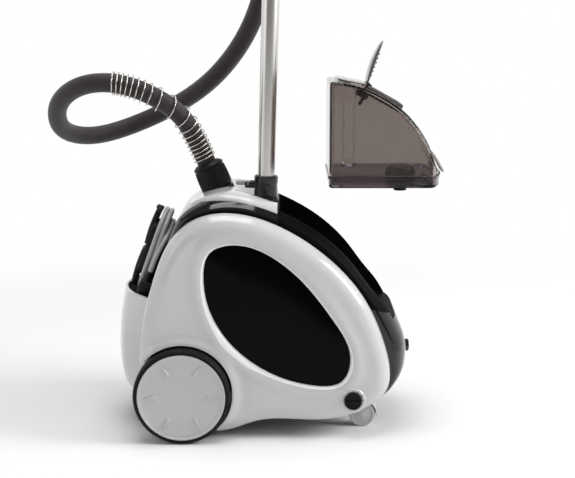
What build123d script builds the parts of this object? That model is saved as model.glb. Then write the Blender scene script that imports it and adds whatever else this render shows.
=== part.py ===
from build123d import *
import math
import os

# Upright garment steamer, in millimetres.
# +X points to the front (the water tank's side), +Y to the left, +Z up, and the floor is at Z = 0.

os.makedirs("parts", exist_ok=True)

# ---------------------------------------------------------------- driving dimensions
WALL = 3.0                 # moulded housing walls
FIT = 0.3                  # clearance between plastic parts that are assembled loosely
RUNNING = 0.05             # radial clearance of a pin or shaft in its bore

CENTRE_SHIFT = 14.0        # the outlines below are drawn this far behind the origin

# housing, seen from the side as X, Z outlines
CORE_HALF = 96.0           # half width of the centre shell
SHELL_FACE = 118.0         # outer face of each side shell
CORE_CROWN = [(-158, 296), (-146, 313), (-120, 328), (-77, 337), (-40, 333), (-9, 322), (47, 290),
              (93, 243), (118, 208), (140, 186), (158, 155), (170, 118), (174, 82), (167, 52), (148, 28)]
CORE_REAR = [(-204, 28), (-204, 170)]
SHELL_CROWN = [(-207, 91), (-202, 162), (-184, 229), (-160, 281), (-128, 308), (-85, 317), (-13, 299),
               (54, 256), (106, 198), (137, 128), (140, 77), (119, 47), (64, 27)]
SHELL_FOOT = [(-50, 24), (-77, 12), (-99, 9), (-150, 40), (-198, 67)]
OVAL = [(-115, 228), (-106, 264), (-74, 275), (-21, 258), (22, 222), (63, 169), (87, 112), (76, 83),
        (33, 77), (-32, 99), (-81, 139), (-109, 189)]
OVAL_FACE = 124.0          # outer face of the oval panels
REAR_PANEL = [(-241, 31), (-247, 58), (-248, 85), (-245, 123), (-234, 176)]
REAR_PANEL_FRONT = -190.0  # front ends of the rear panel, beside the centre shell's rear wall
REAR_PANEL_SIDE = 105.0    # half width of the rear panel
REAR_PANEL_CORNER_X = -205.0
COVER_CROWN = [(-150, 312), (-136, 325), (-120, 334), (-77, 343), (-40, 339), (-9, 328)]
COVER_DEPTH = 60.0         # down to below the centre shell's crown
COVER_PLAN = [(-150, 22), (-128, 48), (-96, 60), (-52, 44), (-8, 34)]

# base
BASE_Z = 24.0
BASE_THICK = 4.0
BASE_REAR, BASE_FRONT = -198.0, 140.0
BASE_HALF = 86.0
BASE_LAP = 10.0            # base pan's overlap under the centre shell's rim
SCREW_PLACES = [(-192, -60), (-192, 60), (-100, -80), (-100, 80), (40, -80), (40, 80), (134, -30), (134, 30)]

# rear wheels
WHEEL_X, WHEEL_R = -146.0, 67.0
WHEEL_FACE = 140.0
WHEEL_WIDTH = 28.0
TYRE_DEPTH = 8.0
CAP_THICK = 4.0
ARCH_GAP = 5.0
FENDER_WIDTH = 10.0
FENDER_FACE = 127.0
AXLE_R = 5.0
TOWER_HALF = 11.0
TOWER_IN, TOWER_OUT = 68.0, 90.0

# front casters
CASTER_X, CASTER_Y = 99.0, 56.0
CASTER_TRAIL = 8.0
CASTER_R = 18.5
CASTER_WEB, CASTER_DISC, CASTER_PLAY = 5.0, 6.0, 0.5   # fork's web, each disc, the play between them
STEM_R = 4.0
CASTER_PIN_R = 2.0
POCKET_R, POCKET_WALL = 33.0, 2.5
POCKET_ROOF = 42.0
SOCKET_TOP = 66.0
HOOD_GAP = 1.6
HOOD_THICK = 2.0
HOOD_DROP = 2.0            # how far the hood reaches below the wheel's middle

# water tank, in its own frame: X from its rear wall, Z from its underside
TANK_LENGTH, TANK_NOSE = 146.0, 160.0
TANK_HALF = 72.0
TANK_WALL = 2.5
TANK_TOP = [(0, 147), (28, 143), (57, 134), (82, 121), (103, 106), (122, 85), (137, 61), (148, 34)]
TANK_FRONT_FOOT = 17.0     # top of the base tray's rim, where the clear shell sits
TRAY_FLOOR = 4.0
LEDGE_OUT, LEDGE_Z = 2.0, 12.0
TANK_X, TANK_Z = -9.0, 165.3   # rear foot of the tank when it is seated in the cradle
LIFT_ANGLE = 20.0          # tilt of the way out of the cradle from upright
LIFT_TRAVEL = 194.0
FLAP_HALF = 42.0
VALVE_X, VALVE_R, VALVE_FLANGE_R = 105.0, 9.5, 12.5
VALVE_DEPTH, VALVE_FLANGE = 13.0, 5.0
PLUNGER_R = 2.5
FILTER_R, FILTER_H = 21.0, 22.0

# filler and lid, in a frame on the tank's sloping top: X down the slope, Z out of it
HINGE_X, HINGE_Z = 56.0, 139.0
FILLER_SLOPE = 29.0
FILLER_LENGTH, FILLER_HALF = 58.0, 26.0
FILLER_RIM = 5.0
LID_THICK = 6.5
LID_OPEN = 99.0            # lid's angle above the filler when it stands open
HINGE_PIN_R = 1.5

# cradle for the tank
CRADLE_REAR = -14.0
CRADLE_HALF = 76.5
CRADLE_FLOOR = 162.0
CRADLE_WALL = 2.5
SEAT_DEPTH, SEAT_FLOOR = 16.0, 2.0

# boiler and what it feeds
BOILER_REAR, BOILER_FRONT, BOILER_HALF = -55.0, 60.0, 40.0
BOILER_BOTTOM, BOILER_TOP = 48.0, 108.0
BOILER_FOOT_R = 6.0
ELEMENT_R, ELEMENT_Y = 4.0, 20.0
INLET_R, INLET_BORE = 5.0, 3.2
STEAM_R, STEAM_BORE = 8.0, 5.5

# controls
DIAL_X, DIAL_Z, DIAL_R, DIAL_FACE = 91.0, 57.0, 12.0, 127.0
BEZEL_R, BEZEL_FACE = 18.0, 121.0
DIAL_SHAFT_R = 3.0
CONTROL_R, CONTROL_LENGTH = 9.0, 13.0
BUTTON_Z, BUTTON_R, BUTTON_TRAVEL = 97.0, 9.0, 3.0
BUTTON_TIP, BUTTON_PROUD = 179.0, 10.2   # tip of the button, and its cap's depth in front of the flange
SWITCH_FRONT, SWITCH_LENGTH, SWITCH_HALF = 149.0, 15.0, 8.0
BOARD_Z, BOARD_THICK = 50.0, 1.6
BOARD_REAR, BOARD_FRONT = 72.0, 121.0

# pole, in its own frame: Z up the pole from the crown, leaning to the front
POLE_X, POLE_Z, POLE_LEAN = -32.0, 311.0, 1.6
LOWER_R, MID_R, UPPER_R = 12.5, 11.25, 10.0
TUBE_WALL = 1.2
LOWER_BOTTOM, LOWER_TOP = -118.0, 594.0
MID_LENGTH, UPPER_LENGTH = 420.0, 400.0
MID_STEP, UPPER_STEP = 52.0, 50.0       # each inner tube's top above the one that it slides in, at rest
MID_TOP = LOWER_TOP + MID_STEP
UPPER_TOP = MID_TOP + UPPER_STEP
POLE_STROKE = 300.0
POLE_SOCKET_WALL = 2.5
COLLAR_Z, COLLAR_TOP, COLLAR_R, COLLAR_FLANGE_R = 15.0, 39.0, 16.5, 19.0
CLAMP_R, CLAMP_HEIGHT, CLAMP_LIP = 18.0, 46.0, 12.0
CLAMP_PIVOT, CLAMP_PIN_R = 25.0, 2.5
BRACKET_CAP, BRACKET_HEIGHT, BRACKET_HALF = 6.0, 40.0, 42.0   # first: bracket above the upper tube's end
BRACKET_TOP = UPPER_TOP + BRACKET_CAP
BRACKET_Z = BRACKET_TOP - BRACKET_HEIGHT
ARM_PIVOT_X, ARM_DROP, ARM_LENGTH = 36.0, 10.0, 170.0
ARM_PIVOT_Z = BRACKET_TOP - ARM_DROP
LOCK_X, LOCK_Z = -26.0, 33.0

# hose from its socket on the crown
HOSE_D = 27.0
HOSE_BORE_R = 9.5
HOSE_ROUTE = [(-116, 0, 374), (-131, -2, 411), (-157, -22, 455), (-227, -40, 492), (-290, -28, 490),
              (-334, 11, 458), (-340, 72, 411), (-295, 132, 396), (-213, 161, 423), (-134, 115, 468),
              (-84, 86, 517), (-48, 64, 576), (-27, 56, 650), (-20, 56, 725), (-18, 56, 800)]
BEND = 0.45                # share of the shorter run that a bend's tangent takes
GUARD_START = 4.0          # the spring guard starts this far along the hose
GUARD_LAST, GUARD_SHARE = 3, 0.6   # last corner inside the spring guard, and how much of the next run
GUARD_R, GUARD_BORE_R = 17.0, 14.0
CUFF_LENGTH, CUFF_INSERT, CUFF_R = 36.0, 10.0, 19.5
NECK_R, NECK_WALL, NECK_LENGTH = 23.5, 3.5, 15.0
CUFF_TILT = 23.0

# handset, in its own frame: Z up from the hose's end
HANDLE_R, HANDLE_START, HANDLE_TOP = 16.5, 30.0, 128.0
HEAD_HALF, HEAD_BACK, HEAD_FRONT, HEAD_HEIGHT = 55.0, -16.0, 20.0, 68.0
PLATE_THICK, PLATE_EDGE = 2.5, 5.0
REST_Z, REST_HEIGHT = 46.0, 22.0

# power cord, stored on two cleats on the sloping rear wall, in a frame on that wall:
# X to the left, Y down the slope, Z out of it
CLEAT_X, CLEAT_Z = -184.5, 225.0
CORD_D = 7.0
COIL_CENTRES, COIL_IN, COIL_OUT = 22.0, 21.5, 36.0
COIL_LIFT, COIL_HEIGHT = 1.0, 28.5
LIP_THICK, LIP_REACH, LIP_HALF = 4.0, 62.0, 14.0
RELIEF_R, RELIEF_TIP_R, RELIEF_LENGTH = 6.5, 4.5, 22.0
LEAD_ROUTE = [(-58, 22, 9), (-58, 4, 9), (-51, -14, 10), (-39, -28, 11)]
PLUG_PLACE = (36, -8, 13)   # where the plug's cable end meets the coil's side

SCREW_HEAD_R, SCREW_HEAD_THICK, SCREW_SINK = 3.6, 2.0, 0.3
FAR = 400.0                # past everything, for cuts that go right through


# ---------------------------------------------------------------- helpers
def rod(radius, start, end):
    """Cylinder between two points."""
    way = Vector(*end) - Vector(*start)
    return Plane(origin=start, z_dir=way) * Cylinder(radius, way.length,
                                                     align=(Align.CENTER, Align.CENTER, Align.MIN))


def taper(start_radius, end_radius, start, end):
    """Cone frustum between two points."""
    way = Vector(*end) - Vector(*start)
    return Plane(origin=start, z_dir=way) * Cone(start_radius, end_radius, way.length,
                                                 align=(Align.CENTER, Align.CENTER, Align.MIN))


def block(x_range, y_range, z_range):
    """Box between two values on each axis."""
    low = [min(r) for r in (x_range, y_range, z_range)]
    size = [max(r) - min(r) for r in (x_range, y_range, z_range)]
    return Pos(*low) * Box(*size, align=(Align.MIN, Align.MIN, Align.MIN))


def grown(points, amount):
    """Closed X, Z outline moved out (positive) or in (negative) by one amount."""
    count = len(points)
    area = sum(points[i - 1][0] * points[i][1] - points[i][0] * points[i - 1][1] for i in range(count))
    turn = 1 if area > 0 else -1
    moved = []
    for i, (px, pz) in enumerate(points):
        before, after = points[i - 1], points[(i + 1) % count]
        run_in = Vector(px - before[0], pz - before[1]).normalized()
        run_out = Vector(after[0] - px, after[1] - pz).normalized()
        out_in, out_out = Vector(run_in.Y, -run_in.X) * turn, Vector(run_out.Y, -run_out.X) * turn
        mitre = (out_in + out_out) * (amount / (1 + out_in.dot(out_out)))
        moved.append((px + mitre.X, pz + mitre.Y))
    return moved


def side_face(curve, straight=(), grow=0.0):
    """Face in a side view: a smooth curve through X, Z points, closed by straight runs."""
    outline = grown([*curve, *straight], grow)
    points = [Vector(px, 0, pz) for px, pz in outline]
    if not straight:
        return Face(Wire([Spline(*points, periodic=True)]))
    corners = [*points[len(curve) - 1:], points[0]]
    edges = [Spline(*points[:len(curve)])]
    edges += [Line(a, b) for a, b in zip(corners, corners[1:])]
    return Face(Wire(edges))


def side_solid(face, y_from, y_to):
    """Side-view face at Y = 0 spread between two Y planes."""
    return extrude(Pos(0, y_from, 0) * face, amount=y_to - y_from, dir=(0, 1, 0))


def plan_solid(points, z_from, z_to):
    """Straight-sided outline in plan, spread between two heights."""
    edges = Polyline(*[(px, py, z_from) for px, py in points], close=True)
    return extrude(Face(Wire(edges.edges())), amount=z_to - z_from, dir=(0, 0, 1))


def bends(route):
    """Bend radius at each corner of a route, as large as its two runs allow."""
    radii = []
    for before, here, after in zip(route, route[1:], route[2:]):
        run_in, run_out = Vector(*here) - Vector(*before), Vector(*after) - Vector(*here)
        turn = math.radians(run_in.get_angle(run_out))
        radii.append(BEND * min(run_in.length, run_out.length) / math.tan(turn / 2))
    return radii


def tube(route, radius, radii=None, bore=0.0):
    """Round tube along straight runs joined by tangent arcs."""
    corner_radii = bends(route) if radii is None else radii
    path = FilletPolyline(*route, radius=corner_radii)
    section = Plane(origin=route[0], z_dir=path % 0)
    solid = sweep(section * Circle(radius), path=path)
    if bore:
        solid -= sweep(section * Circle(bore), path=path)
    return solid


def both_sides(solid):
    """The right-hand piece and its mirror image on the left."""
    return {"right": solid, "left": mirror(solid, about=Plane.XZ)}


def group(*shapes):
    """Separate solids kept together in one node."""
    return Compound(children=[s for shape in shapes for s in shape.solids()])


def save(name, shape):
    """Write one node, moved so that the origin is in the middle of the steamer's footprint."""
    solids = (Pos(CENTRE_SHIFT, 0, 0) * shape).solids()
    export_step(solids[0] if len(solids) == 1 else Compound(children=solids), f"parts/{name}.step")


def save_pair(stem, solid):
    for side, shape in both_sides(solid).items():
        save(f"{side}_{stem}", shape)


# ---------------------------------------------------------------- frames that pieces are placed in
POLE = Location((POLE_X, 0, POLE_Z), (0, POLE_LEAN, 0))
CLAMP_TURN = POLE * Rot(0, 0, -90)   # the clamps' levers are on the right-hand side
LIFT = Vector(math.sin(math.radians(LIFT_ANGLE)), 0, math.cos(math.radians(LIFT_ANGLE))) * LIFT_TRAVEL
TANK = Pos(TANK_X + LIFT.X, 0, TANK_Z + LIFT.Z)
FILLER = Location((HINGE_X, 0, HINGE_Z), (0, FILLER_SLOPE, 0))
LID = FILLER * Location((0, 0, 0), (0, -LID_OPEN, 0))
HANDSET = Location(HOSE_ROUTE[-1], (0, POLE_LEAN, 0))
WALL_RUN = Vector(CORE_CROWN[0][0] - CORE_REAR[-1][0], 0, CORE_CROWN[0][1] - CORE_REAR[-1][1]).normalized()
WALL_OUT = Vector(-WALL_RUN.Z, 0, WALL_RUN.X)
CLEATS = Plane(origin=(CLEAT_X, 0, CLEAT_Z), x_dir=(0, 1, 0), z_dir=WALL_OUT)
CUFF_AXIS = Vector(-math.sin(math.radians(CUFF_TILT)), 0, math.cos(math.radians(CUFF_TILT)))
HOSE_START = Vector(*HOSE_ROUTE[0])


def along_cuff(distance):
    """Point on the cuff's axis, measured back from the hose's exit."""
    point = HOSE_START - CUFF_AXIS * distance
    return (point.X, point.Y, point.Z)


# ---------------------------------------------------------------- housing
def core_solid(grow, half):
    """Centre shell's side-view form across a half width, grown or shrunk."""
    return side_solid(side_face(CORE_CROWN, CORE_REAR, grow), -half, half)


def shell_solid(grow, y_from, y_to):
    """Side shell's form between two Y planes, grown or shrunk."""
    return side_solid(side_face(SHELL_CROWN, SHELL_FOOT, grow), y_from, y_to)


def oval_solid(grow, y_from, y_to):
    """Oval panel's form between two Y planes, grown or shrunk."""
    return side_solid(side_face(OVAL, grow=grow), y_from, y_to)


WHEEL_HOLE_R = WHEEL_R + ARCH_GAP
WHEEL_Z = WHEEL_R


def make_cradle_space():
    """Room that the cradle takes out of the centre shell."""
    return block((CRADLE_REAR, FAR), (-CRADLE_HALF, CRADLE_HALF), (CRADLE_FLOOR, FAR))


def collar_space():
    """Room for the pole's collar and the ears of its lock lever."""
    space = rod(COLLAR_FLANGE_R + FIT, (0, 0, COLLAR_Z), (0, 0, COLLAR_TOP + 20))
    return POLE * (space + block((LOCK_X - 6, 0), (-10.5, 10.5), (LOCK_Z - 6, COLLAR_TOP + 20)))


def base_mouth():
    """Opening under the centre shell, with room for the base pan's wheel towers and caster pockets."""
    half, rim_top = BASE_HALF - BASE_LAP, BASE_Z + BASE_THICK + 2 * WALL
    mouth = block((BASE_REAR + BASE_LAP, BASE_FRONT - BASE_LAP), (-half, half), (0, rim_top))
    for side in (-1, 1):
        mouth += block((WHEEL_X - TOWER_HALF - FIT, WHEEL_X + TOWER_HALF + FIT),
                       (side * TOWER_IN, side * (TOWER_OUT + FIT)), (0, rim_top))
        centre = (CASTER_X, side * CASTER_Y)
        mouth += rod(POCKET_R + POCKET_WALL + FIT, (*centre, 0), (*centre, rim_top))
    return mouth


def make_core_shell():
    shell = core_solid(0, CORE_HALF)
    cavity = core_solid(-WALL, CORE_HALF - WALL)
    shell = shell - cavity - base_mouth() - make_cradle_space()
    socket = POLE * rod(LOWER_R + POLE_SOCKET_WALL, (0, 0, LOWER_BOTTOM - WALL), (0, 0, COLLAR_Z))
    shell += socket & core_solid(0, CORE_HALF)
    shell -= POLE * rod(LOWER_R, (0, 0, LOWER_BOTTOM), (0, 0, COLLAR_TOP))
    shell -= collar_space()
    for side in (-1, 1):
        shell -= rod(AXLE_R + 1, (WHEEL_X, side * 60, WHEEL_Z), (WHEEL_X, side * 130, WHEEL_Z))
    shell -= rod(DIAL_SHAFT_R + 1, (DIAL_X, -130, DIAL_Z), (DIAL_X, -60, DIAL_Z))
    shell -= rod(BUTTON_R + FIT, (SWITCH_FRONT, 0, BUTTON_Z), (BUTTON_TIP, 0, BUTTON_Z))
    shell -= rod(NECK_R, along_cuff(CUFF_LENGTH + NECK_LENGTH + 20), along_cuff(0))
    return shell


def make_cradle():
    outer = core_solid(0, CRADLE_HALF) & make_cradle_space()
    room = block((CRADLE_REAR + CRADLE_WALL, FAR), (-CRADLE_HALF + CRADLE_WALL, CRADLE_HALF - CRADLE_WALL),
                 (CRADLE_FLOOR + WALL, FAR))
    cradle = outer - room
    cradle -= seat_slot(VALVE_FLANGE_R + 1.5, CRADLE_FLOOR - 1, CRADLE_FLOOR + WALL + 1)
    cradle -= collar_space()
    return cradle


def seat_slot(radius, z_from, z_to):
    """Slot that the tank's valve drops into, long enough for its slanting way in."""
    x_from = TANK_X + VALVE_X
    x_to = x_from + math.tan(math.radians(LIFT_ANGLE)) * (VALVE_DEPTH + SEAT_FLOOR)
    return (rod(radius, (x_from, 0, z_from), (x_from, 0, z_to))
            + rod(radius, (x_to, 0, z_from), (x_to, 0, z_to))
            + block((x_from, x_to), (-radius, radius), (z_from, z_to)))


def make_inlet_seat():
    inner = VALVE_FLANGE_R + 1.5
    seat = seat_slot(inner + 2, CRADLE_FLOOR - SEAT_DEPTH, CRADLE_FLOOR)
    seat -= seat_slot(inner, CRADLE_FLOOR - SEAT_DEPTH + SEAT_FLOOR, CRADLE_FLOOR + 1)
    x = TANK_X + VALVE_X + 7
    seat -= rod(INLET_BORE, (x, 0, CRADLE_FLOOR - SEAT_DEPTH - 1), (x, 0, CRADLE_FLOOR))
    pin_x = TANK_X + VALVE_X
    seat += rod(PLUNGER_R, (pin_x, 0, CRADLE_FLOOR - SEAT_DEPTH + SEAT_FLOOR / 2),
                (pin_x, 0, TANK_Z - VALVE_DEPTH - FIT))
    return seat


def make_side_shell():
    shell = shell_solid(0, -SHELL_FACE, -CORE_HALF)
    shell -= shell_solid(-WALL, -SHELL_FACE + WALL, -CORE_HALF)
    ring_out = WHEEL_HOLE_R + FENDER_WIDTH
    fender = (rod(ring_out, (WHEEL_X, -FENDER_FACE, WHEEL_Z), (WHEEL_X, -CORE_HALF, WHEEL_Z))
              & shell_solid(0, -FENDER_FACE, -CORE_HALF))
    shell += fender
    shell -= rod(WHEEL_HOLE_R, (WHEEL_X, -FENDER_FACE - 1, WHEEL_Z), (WHEEL_X, -CORE_HALF + 1, WHEEL_Z))
    shell -= oval_solid(0, -SHELL_FACE - 20, -SHELL_FACE + WALL)
    shell -= rod(DIAL_SHAFT_R + 1, (DIAL_X, -SHELL_FACE - 1, DIAL_Z), (DIAL_X, -CORE_HALF, DIAL_Z))
    return shell


def make_side_panel():
    face = -OVAL_FACE
    panel = oval_solid(-FIT, face, -SHELL_FACE + WALL)
    panel += oval_solid(4, -SHELL_FACE + WALL, -SHELL_FACE + 2 * WALL)
    panel -= oval_solid(-WALL - FIT, face + WALL, -SHELL_FACE + 2 * WALL)
    return panel


def rear_panel_body(shrink):
    """Rear panel's outer form, or the same form one wall in."""
    profile = side_face([(x + shrink, z) for x, z in REAR_PANEL],
                        [(REAR_PANEL_FRONT, REAR_PANEL[-1][1] - 12), (REAR_PANEL_FRONT, REAR_PANEL[0][1])])
    side = REAR_PANEL_SIDE - shrink
    middle = REAR_PANEL[2][0] - 2 + shrink
    corner = REAR_PANEL_CORNER_X + shrink
    plan = Face(Wire([ThreePointArc((corner, -side, 0), (middle, 0, 0), (corner, side, 0)),
                      Line((corner, side, 0), (REAR_PANEL_FRONT, side, 0)),
                      Line((REAR_PANEL_FRONT, side, 0), (REAR_PANEL_FRONT, -side, 0)),
                      Line((REAR_PANEL_FRONT, -side, 0), (corner, -side, 0))]))
    return side_solid(profile, -side, side) & extrude(plan, amount=FAR, dir=(0, 0, 1))


def make_rear_panel():
    panel = rear_panel_body(0) - rear_panel_body(WALL)
    panel -= core_solid(0, CORE_HALF)
    panel -= shell_solid(0, -SHELL_FACE, SHELL_FACE)
    panel -= block((REAR_PANEL_CORNER_X + WALL, 0), (-FAR, FAR), (0, FAR))
    for side in (-1, 1):
        panel -= rod(WHEEL_HOLE_R, (WHEEL_X, side * CORE_HALF, WHEEL_Z), (WHEEL_X, side * 150, WHEEL_Z))
    return max(panel.solids(), key=lambda s: s.volume)


def make_top_cover():
    plan = [(x, -y) for x, y in COVER_PLAN] + [(x, y) for x, y in reversed(COVER_PLAN)]
    low = COVER_CROWN[0][1] - COVER_DEPTH
    foot = [(COVER_CROWN[-1][0], low), (COVER_CROWN[0][0], low)]
    cover = side_solid(side_face(COVER_CROWN, foot), -CORE_HALF, CORE_HALF) & plan_solid(plan, low, FAR)
    cover -= core_solid(0, CORE_HALF)
    cover -= collar_space()
    cover -= rod(NECK_R + FIT, along_cuff(CUFF_LENGTH + 40), along_cuff(0))
    cover -= make_cradle_space()
    return max(cover.solids(), key=lambda s: s.volume)


def make_base_pan():
    base = block((BASE_REAR, BASE_FRONT), (-BASE_HALF, BASE_HALF), (BASE_Z, BASE_Z + BASE_THICK))
    top = BASE_Z + BASE_THICK
    for side in (-1, 1):
        centre = (CASTER_X, side * CASTER_Y)
        base += rod(POCKET_R + POCKET_WALL, (*centre, BASE_Z), (*centre, POCKET_ROOF + WALL))
        base -= rod(POCKET_R, (*centre, BASE_Z - 1), (*centre, POCKET_ROOF))
        base += rod(STEM_R + 4, (*centre, POCKET_ROOF), (*centre, SOCKET_TOP))
        base -= rod(STEM_R + RUNNING, (*centre, POCKET_ROOF - 1), (*centre, SOCKET_TOP + 1))
        base += block((WHEEL_X - TOWER_HALF, WHEEL_X + TOWER_HALF), (side * TOWER_IN, side * TOWER_OUT),
                      (top, WHEEL_Z + TOWER_HALF))
        base -= rod(AXLE_R, (WHEEL_X, side * (TOWER_IN - 1), WHEEL_Z),
                    (WHEEL_X, side * (TOWER_OUT + 1), WHEEL_Z))
        for x in (BOILER_REAR + 12, BOILER_FRONT - 12):
            y = side * (BOILER_HALF - 8)
            base += rod(BOILER_FOOT_R, (x, y, top), (x, y, BOILER_BOTTOM))
        for x in (BOARD_REAR + 5, BOARD_FRONT - 5):
            base += rod(3, (x, side * 13, top), (x, side * 13, BOARD_Z))
    post_front, shelf = BASE_FRONT - BASE_LAP - FIT, BUTTON_Z - SWITCH_HALF
    base += block((post_front - 6, post_front), (-4, 4), (top, shelf))
    base += block((post_front - 6, SWITCH_FRONT), (-SWITCH_HALF, SWITCH_HALF), (shelf - WALL, shelf))
    for x, y in SCREW_PLACES:
        base -= rod(SCREW_HEAD_R + FIT, (x, y, BASE_Z - 1), (x, y, BASE_Z + SCREW_SINK + SCREW_HEAD_THICK))
    return base


# ---------------------------------------------------------------- wheels
def make_axle():
    reach = WHEEL_FACE - CAP_THICK - 2
    return rod(AXLE_R, (WHEEL_X, -reach, WHEEL_Z), (WHEEL_X, reach, WHEEL_Z))


def make_tyre():
    inner_face = -WHEEL_FACE + WHEEL_WIDTH
    tyre = rod(WHEEL_R, (WHEEL_X, -WHEEL_FACE, WHEEL_Z), (WHEEL_X, inner_face, WHEEL_Z))
    tyre -= rod(WHEEL_R - TYRE_DEPTH, (WHEEL_X, -WHEEL_FACE - 1, WHEEL_Z), (WHEEL_X, inner_face + 1, WHEEL_Z))
    return tyre


def make_wheel_rim():
    rim_r = WHEEL_R - TYRE_DEPTH
    inner_face = -WHEEL_FACE + WHEEL_WIDTH
    web_face = -WHEEL_FACE + CAP_THICK
    rim = rod(rim_r, (WHEEL_X, web_face, WHEEL_Z), (WHEEL_X, inner_face, WHEEL_Z))
    rim -= rod(rim_r - WALL, (WHEEL_X, web_face + WALL, WHEEL_Z), (WHEEL_X, inner_face + 1, WHEEL_Z))
    rim += rod(AXLE_R + 5, (WHEEL_X, web_face, WHEEL_Z), (WHEEL_X, -CORE_HALF - 2, WHEEL_Z))
    for spoke in range(6):
        rim += (Pos(WHEEL_X, web_face, WHEEL_Z) * Rot(0, spoke * 60, 0)
                * block((AXLE_R + 3, rim_r - 1), (0, WHEEL_WIDTH - 8), (-1.5, 1.5)))
    rim -= rod(AXLE_R + RUNNING, (WHEEL_X, -WHEEL_FACE, WHEEL_Z), (WHEEL_X, -CORE_HALF, WHEEL_Z))
    return rim


def make_hub_cap():
    cap_r = WHEEL_R - TYRE_DEPTH
    cap = rod(cap_r, (WHEEL_X, -WHEEL_FACE, WHEEL_Z), (WHEEL_X, -WHEEL_FACE + CAP_THICK, WHEEL_Z))
    return cap - rod(AXLE_R + 1, (WHEEL_X, -WHEEL_FACE + 2, WHEEL_Z), (WHEEL_X, -WHEEL_FACE + 5, WHEEL_Z))


def caster_rod(radius, from_middle, to_middle, x=CASTER_X + CASTER_TRAIL):
    """Rod across the right-hand caster, between two distances from its middle."""
    return rod(radius, (x, -CASTER_Y + from_middle, CASTER_R), (x, -CASTER_Y + to_middle, CASTER_R))


def make_caster_fork():
    """Twin-wheel caster's body: a web between the discs, a hood over them and a stem."""
    hood_r, web = CASTER_R + HOOD_GAP, CASTER_WEB / 2
    half = web + CASTER_PLAY + CASTER_DISC + CASTER_PLAY
    wheel_x = CASTER_X + CASTER_TRAIL
    above = block((wheel_x - 2 * CASTER_R, wheel_x + 2 * CASTER_R), (-CASTER_Y - half, -CASTER_Y + half),
                  (CASTER_R - HOOD_DROP, POCKET_ROOF))
    fork = (caster_rod(hood_r + HOOD_THICK, -half, half) - caster_rod(hood_r, -half, half)) & above
    fork += caster_rod(hood_r, -web, web) & above
    fork += caster_rod(CASTER_PIN_R + 3, -web, web)
    neck = rod(STEM_R + 5, (CASTER_X, -CASTER_Y, POCKET_ROOF - 5),
               (CASTER_X, -CASTER_Y, POCKET_ROOF - FIT / 2))
    fork += neck - caster_rod(hood_r, -half, half)
    fork += rod(STEM_R, (CASTER_X, -CASTER_Y, POCKET_ROOF - 2), (CASTER_X, -CASTER_Y, SOCKET_TOP - 2))
    return fork - caster_rod(CASTER_PIN_R + RUNNING, -half, half)


def make_caster_wheel():
    """Two discs on one pin, which runs in the fork's web."""
    inner = CASTER_WEB / 2 + CASTER_PLAY
    outer = inner + CASTER_DISC
    wheel = caster_rod(CASTER_PIN_R, -outer + 1, outer - 1)
    for side in (-1, 1):
        wheel += caster_rod(CASTER_R, side * inner, side * outer)
        wheel -= caster_rod(CASTER_R - 3, side * (outer - 1), side * (outer + 1))
    return wheel


# ---------------------------------------------------------------- water tank
def tank_plan(grow, z_from, z_to):
    """Tank's outline in plan, with its bowed front, grown or shrunk by one amount."""
    back, side = -grow, TANK_HALF + grow
    front, nose = TANK_LENGTH + grow, TANK_NOSE + grow
    face = Face(Wire([ThreePointArc((front, -side, z_from), (nose, 0, z_from), (front, side, z_from)),
                      Line((front, side, z_from), (back, side, z_from)),
                      Line((back, side, z_from), (back, -side, z_from)),
                      Line((back, -side, z_from), (front, -side, z_from))]))
    return extrude(face, amount=z_to - z_from, dir=(0, 0, 1))


def tank_form(grow):
    """Tank's closed form above the tray, grown or shrunk by one amount."""
    top = [(x + grow * 0.7, z + grow) for x, z in TANK_TOP]
    top[0] = (-20, TANK_TOP[0][1] + grow + 1)
    foot = [(TANK_NOSE + 12 + grow, TANK_FRONT_FOOT), (-20, TANK_FRONT_FOOT)]
    side = side_solid(side_face(top, foot), -TANK_HALF - 5, TANK_HALF + 5)
    return side & tank_plan(grow, TANK_FRONT_FOOT, 200)


def filler_block(x_range, half, z_range):
    """Box in the filler's frame."""
    return FILLER * block(x_range, (-half, half), z_range)


def make_tank_shell():
    shell = tank_form(0) - tank_form(-TANK_WALL)
    shell -= tank_form(-TANK_WALL) & tank_plan(-TANK_WALL, TANK_FRONT_FOOT - 1, TANK_FRONT_FOOT + 2)
    shell -= filler_block((-6, FILLER_LENGTH + FIT), FILLER_HALF + FIT, (-40, 20))
    flap = side_face([(140, 52), (150, 42), (163, 20)], [(160, 18), (146, 38), (137, 50)])
    shell += side_solid(flap, -FLAP_HALF, FLAP_HALF) - tank_form(-TANK_WALL)
    return TANK * max(shell.solids(), key=lambda s: s.volume)


def make_tank_base():
    tray = tank_plan(0, 0, TANK_FRONT_FOOT) + tank_plan(LEDGE_OUT, LEDGE_Z, TANK_FRONT_FOOT)
    tray -= tank_plan(-TANK_WALL, TRAY_FLOOR, TANK_FRONT_FOOT + 1)
    tray -= rod(VALVE_R - 2, (VALVE_X, 0, -1), (VALVE_X, 0, TRAY_FLOOR + 1))
    return TANK * tray


def make_filler():
    frame = filler_block((0, FILLER_LENGTH), FILLER_HALF, (-12, 0))
    frame -= filler_block((FILLER_RIM + 3, FILLER_LENGTH - FILLER_RIM), FILLER_HALF - FILLER_RIM, (-20, 1))
    frame -= tank_form(-TANK_WALL) - filler_block((-20, FILLER_LENGTH + 9), FILLER_HALF + 9, (-20, 9))
    for side in (-1, 1):
        ear = FILLER * (rod(4, (0, side * 17, 0), (0, side * 13, 0))
                        + block((0, 6), (side * 17, side * 13), (-8, 3)))
        frame += ear
        frame -= FILLER * rod(HINGE_PIN_R, (0, side * 12, 0), (0, side * 18, 0))
    frame -= FILLER * rod(5, (0, -13, 0), (0, 13, 0))
    return TANK * frame


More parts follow.
